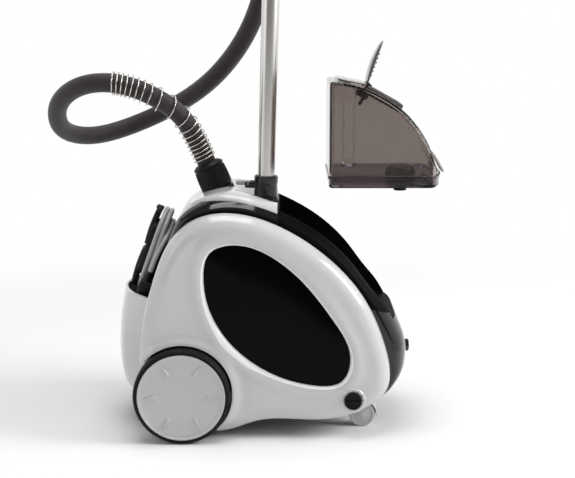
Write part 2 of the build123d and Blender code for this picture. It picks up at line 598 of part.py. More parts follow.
def make_lid():
    lid = block((5, FILLER_LENGTH), (-FILLER_HALF + 1, FILLER_HALF - 1), (FIT, LID_THICK))
    lid += block((FILLER_LENGTH, FILLER_LENGTH + 7), (-7, 7), (2, LID_THICK))
    for side in (-1, 1):
        lid -= block((-5, 7), (side * 12.5, side * 40), (-5, 20))
    lid += block((0, 8), (-12, 12), (FIT, 3.4)) + rod(3.4, (0, -12, 0), (0, 12, 0))
    lid -= rod(HINGE_PIN_R + RUNNING, (0, -20, 0), (0, 20, 0))
    return TANK * LID * lid


def make_lid_pin():
    return TANK * FILLER * rod(HINGE_PIN_R, (0, -17, 0), (0, 17, 0))


def make_valve_body():
    body = rod(VALVE_FLANGE_R, (VALVE_X, 0, -VALVE_FLANGE), (VALVE_X, 0, 0))
    body += rod(VALVE_R, (VALVE_X, 0, -VALVE_DEPTH), (VALVE_X, 0, 0))
    body += rod(VALVE_R - 2, (VALVE_X, 0, 0), (VALVE_X, 0, TRAY_FLOOR + 2))
    body -= rod(PLUNGER_R + RUNNING, (VALVE_X, 0, -VALVE_DEPTH - 1), (VALVE_X, 0, 20))
    body -= rod(VALVE_R - 3.5, (VALVE_X, 0, -VALVE_DEPTH - 1), (VALVE_X, 0, -VALVE_FLANGE))
    return TANK * body


def make_plunger():
    top = TRAY_FLOOR + 2
    stem = rod(PLUNGER_R, (VALVE_X, 0, -VALVE_DEPTH + 2), (VALVE_X, 0, top))
    return TANK * (stem + rod(PLUNGER_R + 3, (VALVE_X, 0, top + FIT / 3), (VALVE_X, 0, top + 3))
                   + rod(PLUNGER_R, (VALVE_X, 0, top), (VALVE_X, 0, top + 1)))


def make_filter():
    base = TRAY_FLOOR
    cup = rod(FILTER_R, (VALVE_X, 0, base), (VALVE_X, 0, base + FILTER_H - 8))
    cup += taper(FILTER_R, FILTER_R - 8, (VALVE_X, 0, base + FILTER_H - 8), (VALVE_X, 0, base + FILTER_H))
    cup -= rod(FILTER_R - 2, (VALVE_X, 0, base - 1), (VALVE_X, 0, base + FILTER_H - 9))
    cup -= taper(FILTER_R - 2, FILTER_R - 9, (VALVE_X, 0, base + FILTER_H - 9),
                 (VALVE_X, 0, base + FILTER_H - 2))
    return TANK * cup


# ---------------------------------------------------------------- boiler, water and steam ways
def make_boiler():
    boiler = block((BOILER_REAR, BOILER_FRONT), (-BOILER_HALF, BOILER_HALF), (BOILER_BOTTOM, BOILER_TOP))
    boiler = fillet(boiler.edges().filter_by(Axis.Z), 12)
    room = block((BOILER_REAR + 8, BOILER_FRONT - 8), (-BOILER_HALF + 8, BOILER_HALF - 8),
                 (BOILER_BOTTOM + 14, BOILER_TOP - 8))
    return boiler - room


def make_element():
    low, ends = BOILER_BOTTOM - ELEMENT_R, BOILER_REAR - 14
    turn = BOILER_FRONT - 8 - ELEMENT_Y
    element = rod(ELEMENT_R, (ends, -ELEMENT_Y, low), (turn, -ELEMENT_Y, low))
    element += rod(ELEMENT_R, (ends, ELEMENT_Y, low), (turn, ELEMENT_Y, low))
    arc = Pos(turn, 0, low) * Torus(ELEMENT_Y, ELEMENT_R)
    return element + (arc & block((turn, turn + 60), (-60, 60), (low - 10, low + 10)))


def make_inlet_tube():
    x = TANK_X + VALVE_X + 7
    route = [(x, 0, CRADLE_FLOOR - SEAT_DEPTH), (x, 0, 76), (BOILER_FRONT, 0, 76)]
    return tube(route, INLET_R, [18], INLET_BORE)


def make_steam_tube():
    top = along_cuff(CUFF_LENGTH)
    route = [(-40, 0, BOILER_TOP), (-40, 0, 150), (top[0], 0, 225), (top[0], 0, top[2] - 15)]
    return tube(route, STEAM_R, [30, 30], STEAM_BORE)


def make_thermostat():
    disc = rod(9, (22, 24, BOILER_TOP), (22, 24, BOILER_TOP + 7))
    return disc + block((14, 30), (22, 26), (BOILER_TOP + 7, BOILER_TOP + 12))


def make_control_board():
    top = BOARD_Z + BOARD_THICK
    board = block((BOARD_REAR, BOARD_FRONT), (-18, 18), (BOARD_Z, top))
    relay = block((BOARD_REAR + 9, BOARD_REAR + 28), (-8, 8), (top, top + 15))
    terminals = block((BOARD_FRONT - 12, BOARD_FRONT - 4), (-14, 14), (top, top + 8))
    return board + relay + terminals


# ---------------------------------------------------------------- controls
def make_dial():
    dial = rod(DIAL_R, (DIAL_X, -DIAL_FACE, DIAL_Z), (DIAL_X, -SHELL_FACE - 1, DIAL_Z))
    grip = block((DIAL_X - DIAL_R + 1, DIAL_X + DIAL_R - 1), (-DIAL_FACE - 2, -DIAL_FACE),
                 (DIAL_Z - 2.5, DIAL_Z + 2.5))
    shaft = rod(DIAL_SHAFT_R, (DIAL_X, -DIAL_FACE + 1, DIAL_Z), (DIAL_X, -CORE_HALF + WALL + 9, DIAL_Z))
    return dial + grip + shaft


def make_bezel():
    ring = rod(BEZEL_R, (DIAL_X, -BEZEL_FACE, DIAL_Z), (DIAL_X, -SHELL_FACE, DIAL_Z))
    return ring - rod(DIAL_R + FIT, (DIAL_X, -BEZEL_FACE - 1, DIAL_Z), (DIAL_X, -SHELL_FACE + 1, DIAL_Z))


def make_steam_control():
    inner = -CORE_HALF + WALL
    body = rod(CONTROL_R, (DIAL_X, inner, DIAL_Z), (DIAL_X, inner + CONTROL_LENGTH, DIAL_Z))
    return body - rod(DIAL_SHAFT_R + RUNNING, (DIAL_X, inner - 1, DIAL_Z), (DIAL_X, inner + 10, DIAL_Z))


def make_button():
    flange = BUTTON_TIP - BUTTON_PROUD
    cap = rod(BUTTON_R, (flange, 0, BUTTON_Z), (BUTTON_TIP - 2, 0, BUTTON_Z))
    cap += taper(BUTTON_R, BUTTON_R - 2, (BUTTON_TIP - 2, 0, BUTTON_Z), (BUTTON_TIP, 0, BUTTON_Z))
    cap += rod(BUTTON_R + 2, (flange - 2, 0, BUTTON_Z), (flange, 0, BUTTON_Z))
    return cap + rod(3, (SWITCH_FRONT + BUTTON_TRAVEL + FIT, 0, BUTTON_Z), (flange, 0, BUTTON_Z))


def make_power_switch():
    return block((SWITCH_FRONT - SWITCH_LENGTH, SWITCH_FRONT), (-SWITCH_HALF, SWITCH_HALF),
                 (BUTTON_Z - SWITCH_HALF, BUTTON_Z + SWITCH_HALF))


# ---------------------------------------------------------------- pole
def pole_tube(radius, bottom, top):
    bore = rod(radius - TUBE_WALL, (0, 0, bottom - 1), (0, 0, top + 1))
    return POLE * (rod(radius, (0, 0, bottom), (0, 0, top)) - bore)


def make_collar():
    collar = rod(COLLAR_FLANGE_R, (0, 0, COLLAR_Z), (0, 0, COLLAR_Z + 4))
    collar += taper(COLLAR_R + 1, COLLAR_R - 1, (0, 0, COLLAR_Z + 4), (0, 0, COLLAR_TOP))
    for side in (-1, 1):
        ear = block((LOCK_X - 4, -10), (side * 6.5, side * 9.5), (LOCK_Z - 5, LOCK_Z + 4))
        collar += ear
    collar -= block((LOCK_X - 6, -COLLAR_R + 1.5), (-6.5, 6.5), (LOCK_Z - 6, LOCK_Z + 6))
    collar -= rod(LOWER_R, (0, 0, COLLAR_Z - 1), (0, 0, COLLAR_TOP + 1))
    collar -= rod(1.8, (LOCK_X, -12, LOCK_Z), (LOCK_X, 12, LOCK_Z))
    return POLE * collar


def make_lock_pin():
    return POLE * rod(1.8, (LOCK_X, -9.5, LOCK_Z), (LOCK_X, 9.5, LOCK_Z))


def make_lock_lever():
    lever = rod(4, (LOCK_X, -6, LOCK_Z), (LOCK_X, 6, LOCK_Z))
    lever += block((LOCK_X - 17, LOCK_X), (-6, 6), (LOCK_Z + 0.5, LOCK_Z + 4))
    return POLE * (lever - rod(1.8 + RUNNING, (LOCK_X, -9, LOCK_Z), (LOCK_X, 9, LOCK_Z)))


def make_clamp(outer_r, inner_r, tube_top):
    """Pole clamp: grips the outer tube's end and guides the inner tube, with ears for its lever."""
    bottom, top = tube_top - CLAMP_HEIGHT + CLAMP_LIP, tube_top + CLAMP_LIP
    clamp = rod(CLAMP_R, (0, 0, bottom), (0, 0, top))
    middle = tube_top - CLAMP_HEIGHT / 2 + CLAMP_LIP
    for z in (middle - 15, middle + 9):
        clamp += block((outer_r + 2, CLAMP_PIVOT + 4), (-4.5, 4.5), (z, z + 6))
    clamp -= rod(outer_r, (0, 0, bottom - 1), (0, 0, tube_top))
    clamp -= rod(inner_r + RUNNING, (0, 0, bottom - 1), (0, 0, top + 1))
    pin = rod(CLAMP_PIN_R, (CLAMP_PIVOT, 0, middle - 15), (CLAMP_PIVOT, 0, middle + 15))
    clamp -= pin
    return CLAMP_TURN * clamp, CLAMP_TURN * pin


def make_clamp_lever(tube_top):
    middle = tube_top - CLAMP_HEIGHT / 2 + CLAMP_LIP
    low, high = middle - 9 + FIT, middle + 9 - FIT
    lever = rod(5, (CLAMP_PIVOT, 0, low), (CLAMP_PIVOT, 0, high))
    lever += block((CLAMP_PIVOT - 1, CLAMP_PIVOT + 5), (-36, 0), (low, high))
    bore = rod(CLAMP_PIN_R + RUNNING, (CLAMP_PIVOT, 0, low - 1), (CLAMP_PIVOT, 0, high + 1))
    return CLAMP_TURN * (lever - bore)


def make_bracket():
    bracket = block((-BRACKET_HALF, BRACKET_HALF), (-9, 9), (ARM_PIVOT_Z - 9, BRACKET_TOP))
    bracket += rod(UPPER_R + 5, (0, 0, BRACKET_Z), (0, 0, BRACKET_TOP))
    bracket -= rod(UPPER_R, (0, 0, BRACKET_Z - 1), (0, 0, UPPER_TOP))
    pins = []
    for side in (-1, 1):
        bracket -= block((side * (ARM_PIVOT_X - 9), side * (BRACKET_HALF + 1)), (-5, 5),
                         (ARM_PIVOT_Z - 5.8, BRACKET_TOP + 1))
        pin = rod(2, (side * ARM_PIVOT_X, -9, ARM_PIVOT_Z), (side * ARM_PIVOT_X, 9, ARM_PIVOT_Z))
        bracket -= pin
        pins.append(POLE * pin)
    return POLE * bracket, group(*pins)


def make_hanger_arm(side):
    """Garment hanger arm with a turned-up tip; side +1 is the front one."""
    start, end = side * ARM_PIVOT_X, side * (ARM_PIVOT_X + ARM_LENGTH)
    outline = Polyline((start, 0, ARM_PIVOT_Z - 5), (end, 0, ARM_PIVOT_Z - 12), (end, 0, ARM_PIVOT_Z + 2),
                       (end - side * 8, 0, ARM_PIVOT_Z + 2), (end - side * 12, 0, ARM_PIVOT_Z - 4),
                       (start, 0, ARM_PIVOT_Z + 5), close=True)
    arm = side_solid(Face(Wire(outline.edges())), -4, 4)
    arm += rod(5, (start, -4.5, ARM_PIVOT_Z), (start, 4.5, ARM_PIVOT_Z))
    return POLE * (arm - rod(2 + RUNNING, (start, -10, ARM_PIVOT_Z), (start, 10, ARM_PIVOT_Z)))


# ---------------------------------------------------------------- hose and handset
def make_hose_socket():
    base_point, exit_point = along_cuff(CUFF_LENGTH + NECK_LENGTH), along_cuff(CUFF_LENGTH - 2)
    neck = rod(NECK_R, base_point, exit_point)
    neck -= rod(NECK_R - NECK_WALL, along_cuff(CUFF_LENGTH + CUFF_INSERT), along_cuff(0))
    top = along_cuff(CUFF_LENGTH)
    neck -= rod(STEAM_R, (top[0], 0, CLEAT_Z), (top[0], 0, FAR))
    neck -= core_solid(-WALL, CORE_HALF)
    return neck


def make_hose_cuff():
    cuff = taper(CUFF_R, CUFF_R - 2, along_cuff(CUFF_LENGTH + CUFF_INSERT), along_cuff(0))
    cuff += rod(CUFF_R + 1, along_cuff(CUFF_LENGTH - 6), along_cuff(CUFF_LENGTH - 12))
    return cuff - rod(HOSE_BORE_R, along_cuff(CUFF_LENGTH + CUFF_INSERT + 1), along_cuff(-1))


def make_hose():
    return tube(HOSE_ROUTE, HOSE_D / 2, bore=HOSE_BORE_R)


def make_spring_guard():
    last, beyond = Vector(*HOSE_ROUTE[GUARD_LAST]), Vector(*HOSE_ROUTE[GUARD_LAST + 1])
    first, second = Vector(*HOSE_ROUTE[0]), Vector(*HOSE_ROUTE[1])
    start = first + (second - first).normalized() * GUARD_START
    route = [tuple(start), *HOSE_ROUTE[1:GUARD_LAST + 1], tuple(last + (beyond - last) * GUARD_SHARE)]
    radii = bends(HOSE_ROUTE)[:GUARD_LAST]
    outer = tube(route, GUARD_R, radii)
    return outer - tube(route, GUARD_BORE_R, radii)


def make_handset_cuff():
    cuff = taper(HOSE_D / 2 + 2, HANDLE_R, (0, 0, 0), (0, 0, HANDLE_START))
    return HANDSET * (cuff - rod(HOSE_BORE_R, (0, 0, -1), (0, 0, HANDLE_START + 1)))


def make_handle():
    handle = rod(HANDLE_R, (0, 0, HANDLE_START), (0, 0, HANDLE_TOP))
    return HANDSET * (handle - rod(HOSE_BORE_R, (0, 0, HANDLE_START - 1), (0, 0, HANDLE_TOP + 1)))


def make_steam_head():
    low, high = HANDLE_TOP, HANDLE_TOP + HEAD_HEIGHT
    head = block((-HEAD_HALF, HEAD_HALF), (HEAD_BACK, HEAD_FRONT), (low, high))
    head = fillet(head.edges().filter_by(Axis.Y), 14)
    room = block((-HEAD_HALF + 8, HEAD_HALF - 8), (HEAD_BACK + WALL, HEAD_FRONT + 1), (low + 8, high - 8))
    return HANDSET * (head - room - rod(HOSE_BORE_R, (0, 0, low - 1), (0, 0, low + 20)))


def make_nozzle_plate():
    low, high = HANDLE_TOP + PLATE_EDGE, HANDLE_TOP + HEAD_HEIGHT - PLATE_EDGE
    plate = block((-HEAD_HALF + PLATE_EDGE, HEAD_HALF - PLATE_EDGE), (HEAD_FRONT, HEAD_FRONT + PLATE_THICK),
                  (low, high))
    plate = fillet(plate.edges().filter_by(Axis.Y), 9)
    middle = (low + high) / 2
    for row, count in ((-14, 5), (0, 6), (14, 5)):
        for number in range(count):
            x = (number - (count - 1) / 2) * 15
            plate -= rod(1.6, (x, HEAD_FRONT - 1, middle + row), (x, HEAD_FRONT + 5, middle + row))
    return HANDSET * plate


def make_handset_rest():
    """Clip on the pole's fixed tube that holds the handset's handle."""
    clip = rod(HANDLE_R + 4, (0, 0, REST_Z), (0, 0, REST_Z + REST_HEIGHT))
    clip -= block((-40, 40), (7, 40), (REST_Z - 1, REST_Z + REST_HEIGHT + 1))
    clip += block((-6, 6), (-42, -HANDLE_R - 1), (REST_Z, REST_Z + REST_HEIGHT))
    clip -= rod(HANDLE_R + FIT, (0, 0, REST_Z - 1), (0, 0, REST_Z + REST_HEIGHT + 1))
    clip = HANDSET * clip
    along = HOSE_ROUTE[-1][2] - POLE_Z + REST_Z
    clip += POLE * rod(LOWER_R + 4, (0, 0, along), (0, 0, along + REST_HEIGHT))
    return clip - POLE * rod(LOWER_R, (0, 0, along - 5), (0, 0, along + REST_HEIGHT + 5))


# ---------------------------------------------------------------- power cord
def make_cleats():
    height = COIL_LIFT + COIL_HEIGHT + 0.5
    core_r = COIL_IN - 0.5
    core = Pos(0, 0, 0) * block((-core_r, core_r), (-COIL_CENTRES, COIL_CENTRES), (0, height))
    for side in (-1, 1):
        core += rod(core_r, (0, side * COIL_CENTRES, 0), (0, side * COIL_CENTRES, height))
        core += block((-LIP_HALF, LIP_HALF), (side * COIL_CENTRES, side * LIP_REACH),
                      (height, height + LIP_THICK))
        core += block((-LIP_HALF, LIP_HALF), (side * (LIP_REACH - 3), side * LIP_REACH),
                      (height - 9, height + LIP_THICK))
    return CLEATS * core


def make_cord_coil():
    coil = block((-COIL_OUT, COIL_OUT), (-COIL_CENTRES, COIL_CENTRES), (COIL_LIFT, COIL_LIFT + COIL_HEIGHT))
    hole = block((-COIL_IN, COIL_IN), (-COIL_CENTRES, COIL_CENTRES), (0, 60))
    for side in (-1, 1):
        coil += rod(COIL_OUT, (0, side * COIL_CENTRES, COIL_LIFT),
                    (0, side * COIL_CENTRES, COIL_LIFT + COIL_HEIGHT))
        hole += rod(COIL_IN, (0, side * COIL_CENTRES, 0), (0, side * COIL_CENTRES, 60))
    return CLEATS * (coil - hole)


def on_wall(points):
    """Points of the cleats' frame in the steamer's frame."""
    return [tuple(CLEATS.from_local_coords(Vector(*p))) for p in points]


def make_cord_lead():
    return tube(on_wall(LEAD_ROUTE), CORD_D / 2)


def make_relief():
    u, v, w = LEAD_ROUTE[0]
    boss = block((u - 9, u + 9), (v + RELIEF_LENGTH - 8, v + RELIEF_LENGTH + 12), (0, w + 9))
    return CLEATS * (taper(RELIEF_R, RELIEF_TIP_R, (u, v + RELIEF_LENGTH, w), (u, v, w)) + boss)


def make_plug():
    u, v, w = PLUG_PLACE
    body = taper(CORD_D / 2 + 0.5, 7, (u, v, w), (u + 16, v, w))
    body += block((u + 14, u + 40), (v - 11, v + 11), (w - 9, w + 9))
    for side in (-1, 1):
        body += rod(2.2, (u + 40, v + side * 6, w), (u + 58, v + side * 6, w))
    return CLEATS * body


def make_screws():
    """Heads of the base pan's screws, sunk just below its underside."""
    low = BASE_Z + SCREW_SINK
    return [rod(SCREW_HEAD_R, (x, y, low), (x, y, low + SCREW_HEAD_THICK)) for x, y in SCREW_PLACES]


# ---------------------------------------------------------------- write every node
print("hose bend radii:", [round(r) for r in bends(HOSE_ROUTE)])
print("cord lead bend radii:", [round(r) for r in bends(LEAD_ROUTE)])

save("base_pan", group(make_base_pan(), *make_screws()))
save("centre_shell", make_core_shell())
save("tank_cradle", make_cradle())
save("inlet_seat", make_inlet_seat())
save("rear_panel", make_rear_panel())
save("top_cover", make_top_cover())
save_pair("side_shell", make_side_shell())
save("side_panels", group(*both_sides(make_side_panel()).values()))

save("rear_axle", make_axle())
save_pair("wheel_tyre", make_tyre())
save_pair("wheel_rim", make_wheel_rim())
save_pair("hub_cap", make_hub_cap())
save_pair("caster_fork", make_caster_fork())
save_pair("caster_wheel", make_caster_wheel())

save("tank_shell", make_tank_shell())
save("tank_base", make_tank_base())
save("filler_frame", group(make_filler(), make_lid_pin()))
save("tank_lid", make_lid())
save("valve_body", make_valve_body())
save("valve_plunger", make_plunger())
save("inlet_filter", make_filter())

save("boiler", make_boiler())
save("heating_element", make_element())
save("inner_tubes", group(make_inlet_tube(), make_steam_tube()))
save("electrical_parts", group(make_thermostat(), make_control_board(), make_power_switch()))

save("steam_dial", make_dial())
save("dial_bezel", make_bezel())
save("steam_control", make_steam_control())
save("power_button", make_button())

save("lower_tube", pole_tube(LOWER_R, LOWER_BOTTOM, LOWER_TOP))
save("mid_tube", pole_tube(MID_R, MID_TOP - MID_LENGTH, MID_TOP))
save("upper_tube", pole_tube(UPPER_R, UPPER_TOP - UPPER_LENGTH, UPPER_TOP))
save("pole_collar", group(make_collar(), make_lock_pin()))
save("pole_lock_lever", make_lock_lever())
save("lower_clamp", group(*make_clamp(LOWER_R, MID_R, LOWER_TOP)))
save("upper_clamp", group(*make_clamp(MID_R, UPPER_R, MID_TOP)))
save("lower_clamp_lever", make_clamp_lever(LOWER_TOP))
save("upper_clamp_lever", make_clamp_lever(MID_TOP))
bracket, bracket_pins = make_bracket()
save("hanger_bracket", group(bracket, bracket_pins))
save("front_hanger_arm", make_hanger_arm(1))
save("rear_hanger_arm", make_hanger_arm(-1))

save("hose_socket", make_hose_socket())
save("hose_cuffs", group(make_hose_cuff(), make_handset_cuff()))
save("steam_hose", make_hose())
save("spring_guard", make_spring_guard())
save("handset_handle", make_handle())
save("steam_head", make_steam_head())
save("nozzle_plate", make_nozzle_plate())
save("handset_rest", make_handset_rest())

save("cord_cleats", make_cleats())
save("cord_relief", make_relief())
save("cord_lead", make_cord_lead())
save("cord_coil", make_cord_coil())
save("cord_plug", make_plug())
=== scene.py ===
import math

import bmesh
import bpy
import numpy as np
from mathutils import Matrix, Vector


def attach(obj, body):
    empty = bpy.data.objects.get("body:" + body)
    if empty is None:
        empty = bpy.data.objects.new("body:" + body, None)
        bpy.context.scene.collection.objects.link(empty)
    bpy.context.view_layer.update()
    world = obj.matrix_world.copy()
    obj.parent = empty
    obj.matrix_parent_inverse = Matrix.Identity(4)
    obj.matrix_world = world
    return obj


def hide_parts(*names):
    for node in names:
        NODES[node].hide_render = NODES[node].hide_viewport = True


# Upright garment steamer: looks for the CAD nodes, and finer pieces in place of some of them.
# Lengths are written in millimetres, in the frame of the drawings, and at() turns them to metres.

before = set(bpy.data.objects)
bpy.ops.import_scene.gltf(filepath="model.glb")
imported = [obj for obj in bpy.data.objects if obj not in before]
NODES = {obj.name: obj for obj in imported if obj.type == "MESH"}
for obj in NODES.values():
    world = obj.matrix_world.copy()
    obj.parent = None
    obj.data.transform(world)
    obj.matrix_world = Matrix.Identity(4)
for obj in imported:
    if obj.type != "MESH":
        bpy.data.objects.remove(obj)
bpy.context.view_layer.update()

CENTRE_SHIFT = 14.0        # the drawings lie this far behind the origin


def at(x, y, z):
    """Point of the drawings, in metres."""
    return Vector((x + CENTRE_SHIFT, y, z)) / 1000


def drawn(point):
    """Point in metres, as one of the drawings."""
    return point * 1000 - Vector((CENTRE_SHIFT, 0, 0))


def mm(value):
    return value / 1000


def linked(name, data):
    """New object of the scene with a mesh, a curve, a lamp or a camera."""
    made = bpy.data.objects.new(name, data)
    bpy.context.scene.collection.objects.link(made)
    return made


# ---------------------------------------------------------------- nodes and colours
def linear(code):
    """An sRGB hex value such as 'D9DADC' as linear colour."""
    channels = [int(code[i:i + 2], 16) / 255 for i in (0, 2, 4)]
    return (*[c / 12.92 if c <= 0.04045 else ((c + 0.055) / 1.055) ** 2.4 for c in channels], 1.0)


def add(tree, kind, inputs=(), **settings):
    """Add a node with its settings; its inputs take plain values or other nodes' outputs."""
    made = tree.nodes.new(kind)
    for name, value in settings.items():
        setattr(made, name, value)
    for name, value in dict(inputs).items():
        if isinstance(value, bpy.types.NodeSocket):
            tree.links.new(value, made.inputs[name])
        else:
            made.inputs[name].default_value = value
    return made


def finish(name, colour, **shader):
    """A material with its Principled shader's own values set; returns it with its tree and shader."""
    material = bpy.data.materials.new(name)
    material.use_nodes = True
    tree = material.node_tree
    surface = tree.nodes["Principled BSDF"]
    surface.inputs["Base Color"].default_value = linear(colour)
    for key, value in shader.items():
        surface.inputs[key.replace("_", " ")].default_value = value
    return material, tree, surface


def uneven(tree, surface, other, cloud_mm, gloss, gloss_mm, grain_mm=None, depth_mm=0.0, stretch=(1, 1, 1)):
    """A skin whose colour drifts to a near shade, whose gloss comes and goes and whose grain stands out.

    The sizes are those of the patches, the hazy spots and the grain; stretch below 1 draws them out.
    """
    spot = add(tree, "ShaderNodeTexCoord").outputs["Object"]
    spot = add(tree, "ShaderNodeMapping", {"Vector": spot, "Scale": stretch}).outputs["Vector"]
    clouds = add(tree, "ShaderNodeTexNoise", {"Vector": spot, "Scale": 1000 / cloud_mm, "Detail": 3.0})
    own = tuple(surface.inputs["Base Color"].default_value)
    blend = add(tree, "ShaderNodeMix", {0: clouds.outputs["Fac"], 6: own, 7: linear(other)}, data_type="RGBA")
    tree.links.new(blend.outputs[2], surface.inputs["Base Color"])
    haze = add(tree, "ShaderNodeTexNoise", {"Vector": spot, "Scale": 1000 / gloss_mm, "Detail": 2.0})
    span = add(tree, "ShaderNodeMapRange", {"Value": haze.outputs["Fac"], "To Min": gloss[0],
                                            "To Max": gloss[1]})
    tree.links.new(span.outputs["Result"], surface.inputs["Roughness"])
    if grain_mm is None:
        return
    grain = add(tree, "ShaderNodeTexNoise", {"Vector": spot, "Scale": 1000 / grain_mm, "Detail": 3.0})
    bump = add(tree, "ShaderNodeBump", {"Height": grain.outputs["Fac"], "Distance": mm(depth_mm)})
    tree.links.new(bump.outputs["Normal"], surface.inputs["Normal"])


# ---------------------------------------------------------------- materials
def polished_abs(name, colour, other, gloss=(0.1, 0.17), **shader):
    """ABS from a polished mould: even colour, sharp highlights with a faint orange peel."""
    material, tree, surface = finish(name, colour, IOR=1.53, **shader)
    uneven(tree, surface, other, cloud_mm=60, gloss=gloss, gloss_mm=25, grain_mm=7, depth_mm=0.012)
    return material


def sparked_abs(name, colour, other, grain_mm=1.1, gloss=(0.46, 0.58), specular=0.25):
    """ABS from a spark-eroded mould: a fine grain kills reflections; it is 0.3 mm wide and drawn coarser."""
    material, tree, surface = finish(name, colour, IOR=1.5, Specular_IOR_Level=specular)
    uneven(tree, surface, other, cloud_mm=18, gloss=gloss, gloss_mm=9, grain_mm=grain_mm, depth_mm=0.06)
    return material


def smoked_polycarbonate(name, colour, other, **shader):
    """Moulded smoke-tinted polycarbonate: clear grey brown, darker where light crosses more of it."""
    material, tree, surface = finish(name, colour, Transmission_Weight=1.0, **shader)
    uneven(tree, surface, other, cloud_mm=70, gloss=(0.02, 0.07), gloss_mm=30, grain_mm=16, depth_mm=0.02)
    return material


def anodised_aluminium():
    """Drawn aluminium tube, bright anodised: long fine draw marks stretch each highlight along the pole.

    The marks are 0.3 mm apart in truth and drawn at 1.2 mm.
    """
    material, tree, surface = finish("anodised_aluminium", "CFCDC9", Metallic=1.0)
    uneven(tree, surface, "D8D6D2", cloud_mm=1.2, gloss=(0.26, 0.32), gloss_mm=1.6, grain_mm=1.2,
           depth_mm=0.003, stretch=(1, 1, 0.02))
    return material


def spring_steel():
    """Bright drawn spring wire: white highlights with a little haze from the drawing die."""
    material, tree, surface = finish("drawn_spring_steel", "D8D5CF", Metallic=1.0)
    uneven(tree, surface, "C2BEB7", cloud_mm=5, gloss=(0.16, 0.3), gloss_mm=3, grain_mm=1, depth_mm=0.004)
    return material


def brushed_metal(name, colour, other, gloss, grain_mm=0.8, stretch=(0.03, 1, 1)):
    """Metal worked one way: its grain is 0.2 mm wide in truth and drawn at 0.8 mm so that it shows."""
    material, tree, surface = finish(name, colour, Metallic=1.0)
    uneven(tree, surface, other, cloud_mm=12, gloss=gloss, gloss_mm=4, grain_mm=grain_mm, depth_mm=0.015,
           stretch=stretch)
    return material


def moulded_rubber(name, colour, other, gloss):
    """Moulded rubber: deep grey with a dusty bloom and a soft wide sheen."""
    material, tree, surface = finish(name, colour, IOR=1.5, Specular_IOR_Level=0.2)
    uneven(tree, surface, other, cloud_mm=12, gloss=gloss, gloss_mm=5, grain_mm=1.4, depth_mm=0.05)
    return material


def extruded_sheath(name, colour, other):
    """Extruded PVC or silicone: smooth and slightly waxy, with a soft highlight along its length."""
    material, tree, surface = finish(name, colour, IOR=1.5, Coat_Weight=0.2, Coat_Roughness=0.15)
    uneven(tree, surface, other, cloud_mm=10, gloss=(0.26, 0.4), gloss_mm=6, grain_mm=2, depth_mm=0.02)
    return material


def braided_cover():
    """Polyester braid: two sets of yarns cross at a slant, 1.2 mm apart in truth and drawn at 2.4 mm."""
    material, tree, surface = finish("braided_polyester", "2A2426", IOR=1.45,
                                     Specular_IOR_Level=0.3, Sheen_Weight=0.2, Sheen_Roughness=0.5)
    uneven(tree, surface, "352E30", cloud_mm=14, gloss=(0.5, 0.66), gloss_mm=6)
    along = add(tree, "ShaderNodeUVMap", uv_map="along").outputs["UV"]
    yarns = []
    for slant in (1, -1):
        turned = add(tree, "ShaderNodeMapping",
                     {"Vector": along, "Rotation": (0, 0, slant * math.radians(35))})
        yarn = add(tree, "ShaderNodeTexWave", {"Vector": turned.outputs["Vector"], "Distortion": 0.3,
                                               "Scale": 2 * math.pi / 20 / mm(2.4)}, wave_type="BANDS")
        yarns.append(yarn.outputs["Fac"])
    crossed = add(tree, "ShaderNodeMath", {0: yarns[0], 1: yarns[1]}, operation="MULTIPLY")
    bump = add(tree, "ShaderNodeBump", {"Height": crossed.outputs[0], "Distance": mm(0.25)})
    tree.links.new(bump.outputs["Normal"], surface.inputs["Normal"])
    return material


WHITE = polished_abs("polished_white_abs", "CBCBCC", "C6C6C8", Coat_Weight=0.3, Coat_Roughness=0.04)
# A brighter copy of the white plastic for the lip round the oval: a painted highlight.
LIP_HIGHLIGHT_WHITE = polished_abs("painted_highlight_white_abs", "F6F6F5", "F0F0EF")
CAP_WHITE = polished_abs("satin_white_abs", "BFBFC0", "BABABC", (0.16, 0.24))
BLACK = polished_abs("polished_black_abs", "09090B", "070708", (0.05, 0.09))
INSET_BLACK = polished_abs("polished_black_inset", "070607", "060506", (0.16, 0.24),
                           Specular_IOR_Level=0.05)
SATIN_BLACK = polished_abs("satin_black_abs", "111113", "0E0E10", (0.18, 0.26))
KNOB_BLACK = polished_abs("soft_touch_black_abs", "09090B", "0C0C0E", (0.3, 0.4), Specular_IOR_Level=0.12)
GREY = polished_abs("satin_grey_abs", "ADADAE", "A6A6A7", (0.2, 0.27))
SMOKED_GREY = polished_abs("polished_smoke_grey_abs", "5E5856", "57514F", (0.13, 0.2))
CRADLE_BLACK = sparked_abs("matt_black_abs", "070708", "0A0A0B", specular=0.04)
BASE_BLACK = sparked_abs("sparked_base_abs", "121214", "18181A")
NYLON = sparked_abs("glass_filled_black_nylon", "0F0F11", "151517", 1.6, (0.4, 0.5))
SMOKED = smoked_polycarbonate("smoked_polycarbonate", "AEA6A2", "A9A19C", IOR=1.3)
SMOKED_BASE = smoked_polycarbonate("smoked_polycarbonate_base", "776C6F", "72686A", IOR=1.3)
# A dark opaque finish for the tank's thick edges: painted shade for the line that light through them shows.
SMOKED_EDGE_SHADE = polished_abs("smoked_polycarbonate_painted_edge_shade", "171315", "1C1719", (0.08, 0.14),
                           Specular_IOR_Level=0.3)
ALUMINIUM = anodised_aluminium()
SPRING = spring_steel()
NOZZLE = brushed_metal("brushed_stainless_steel", "C8C7C4", "BDBCB9", (0.16, 0.3))
AXLE = brushed_metal("turned_steel", "9C9C9C", "929292", (0.24, 0.36), stretch=(1, 0.03, 1))
CASTING = brushed_metal("cast_aluminium", "A6A6A8", "9A9A9C", (0.4, 0.55), 1.5, (1, 1, 1))
TYRE = moulded_rubber("moulded_tyre_rubber", "08080A", "0D0D0E", (0.5, 0.66))
CUFF = moulded_rubber("moulded_cuff_rubber", "0F0E0F", "151415", (0.36, 0.5))
SHEATH = extruded_sheath("pvc_cord_sheath", "B2B1AF", "A8A7A5")
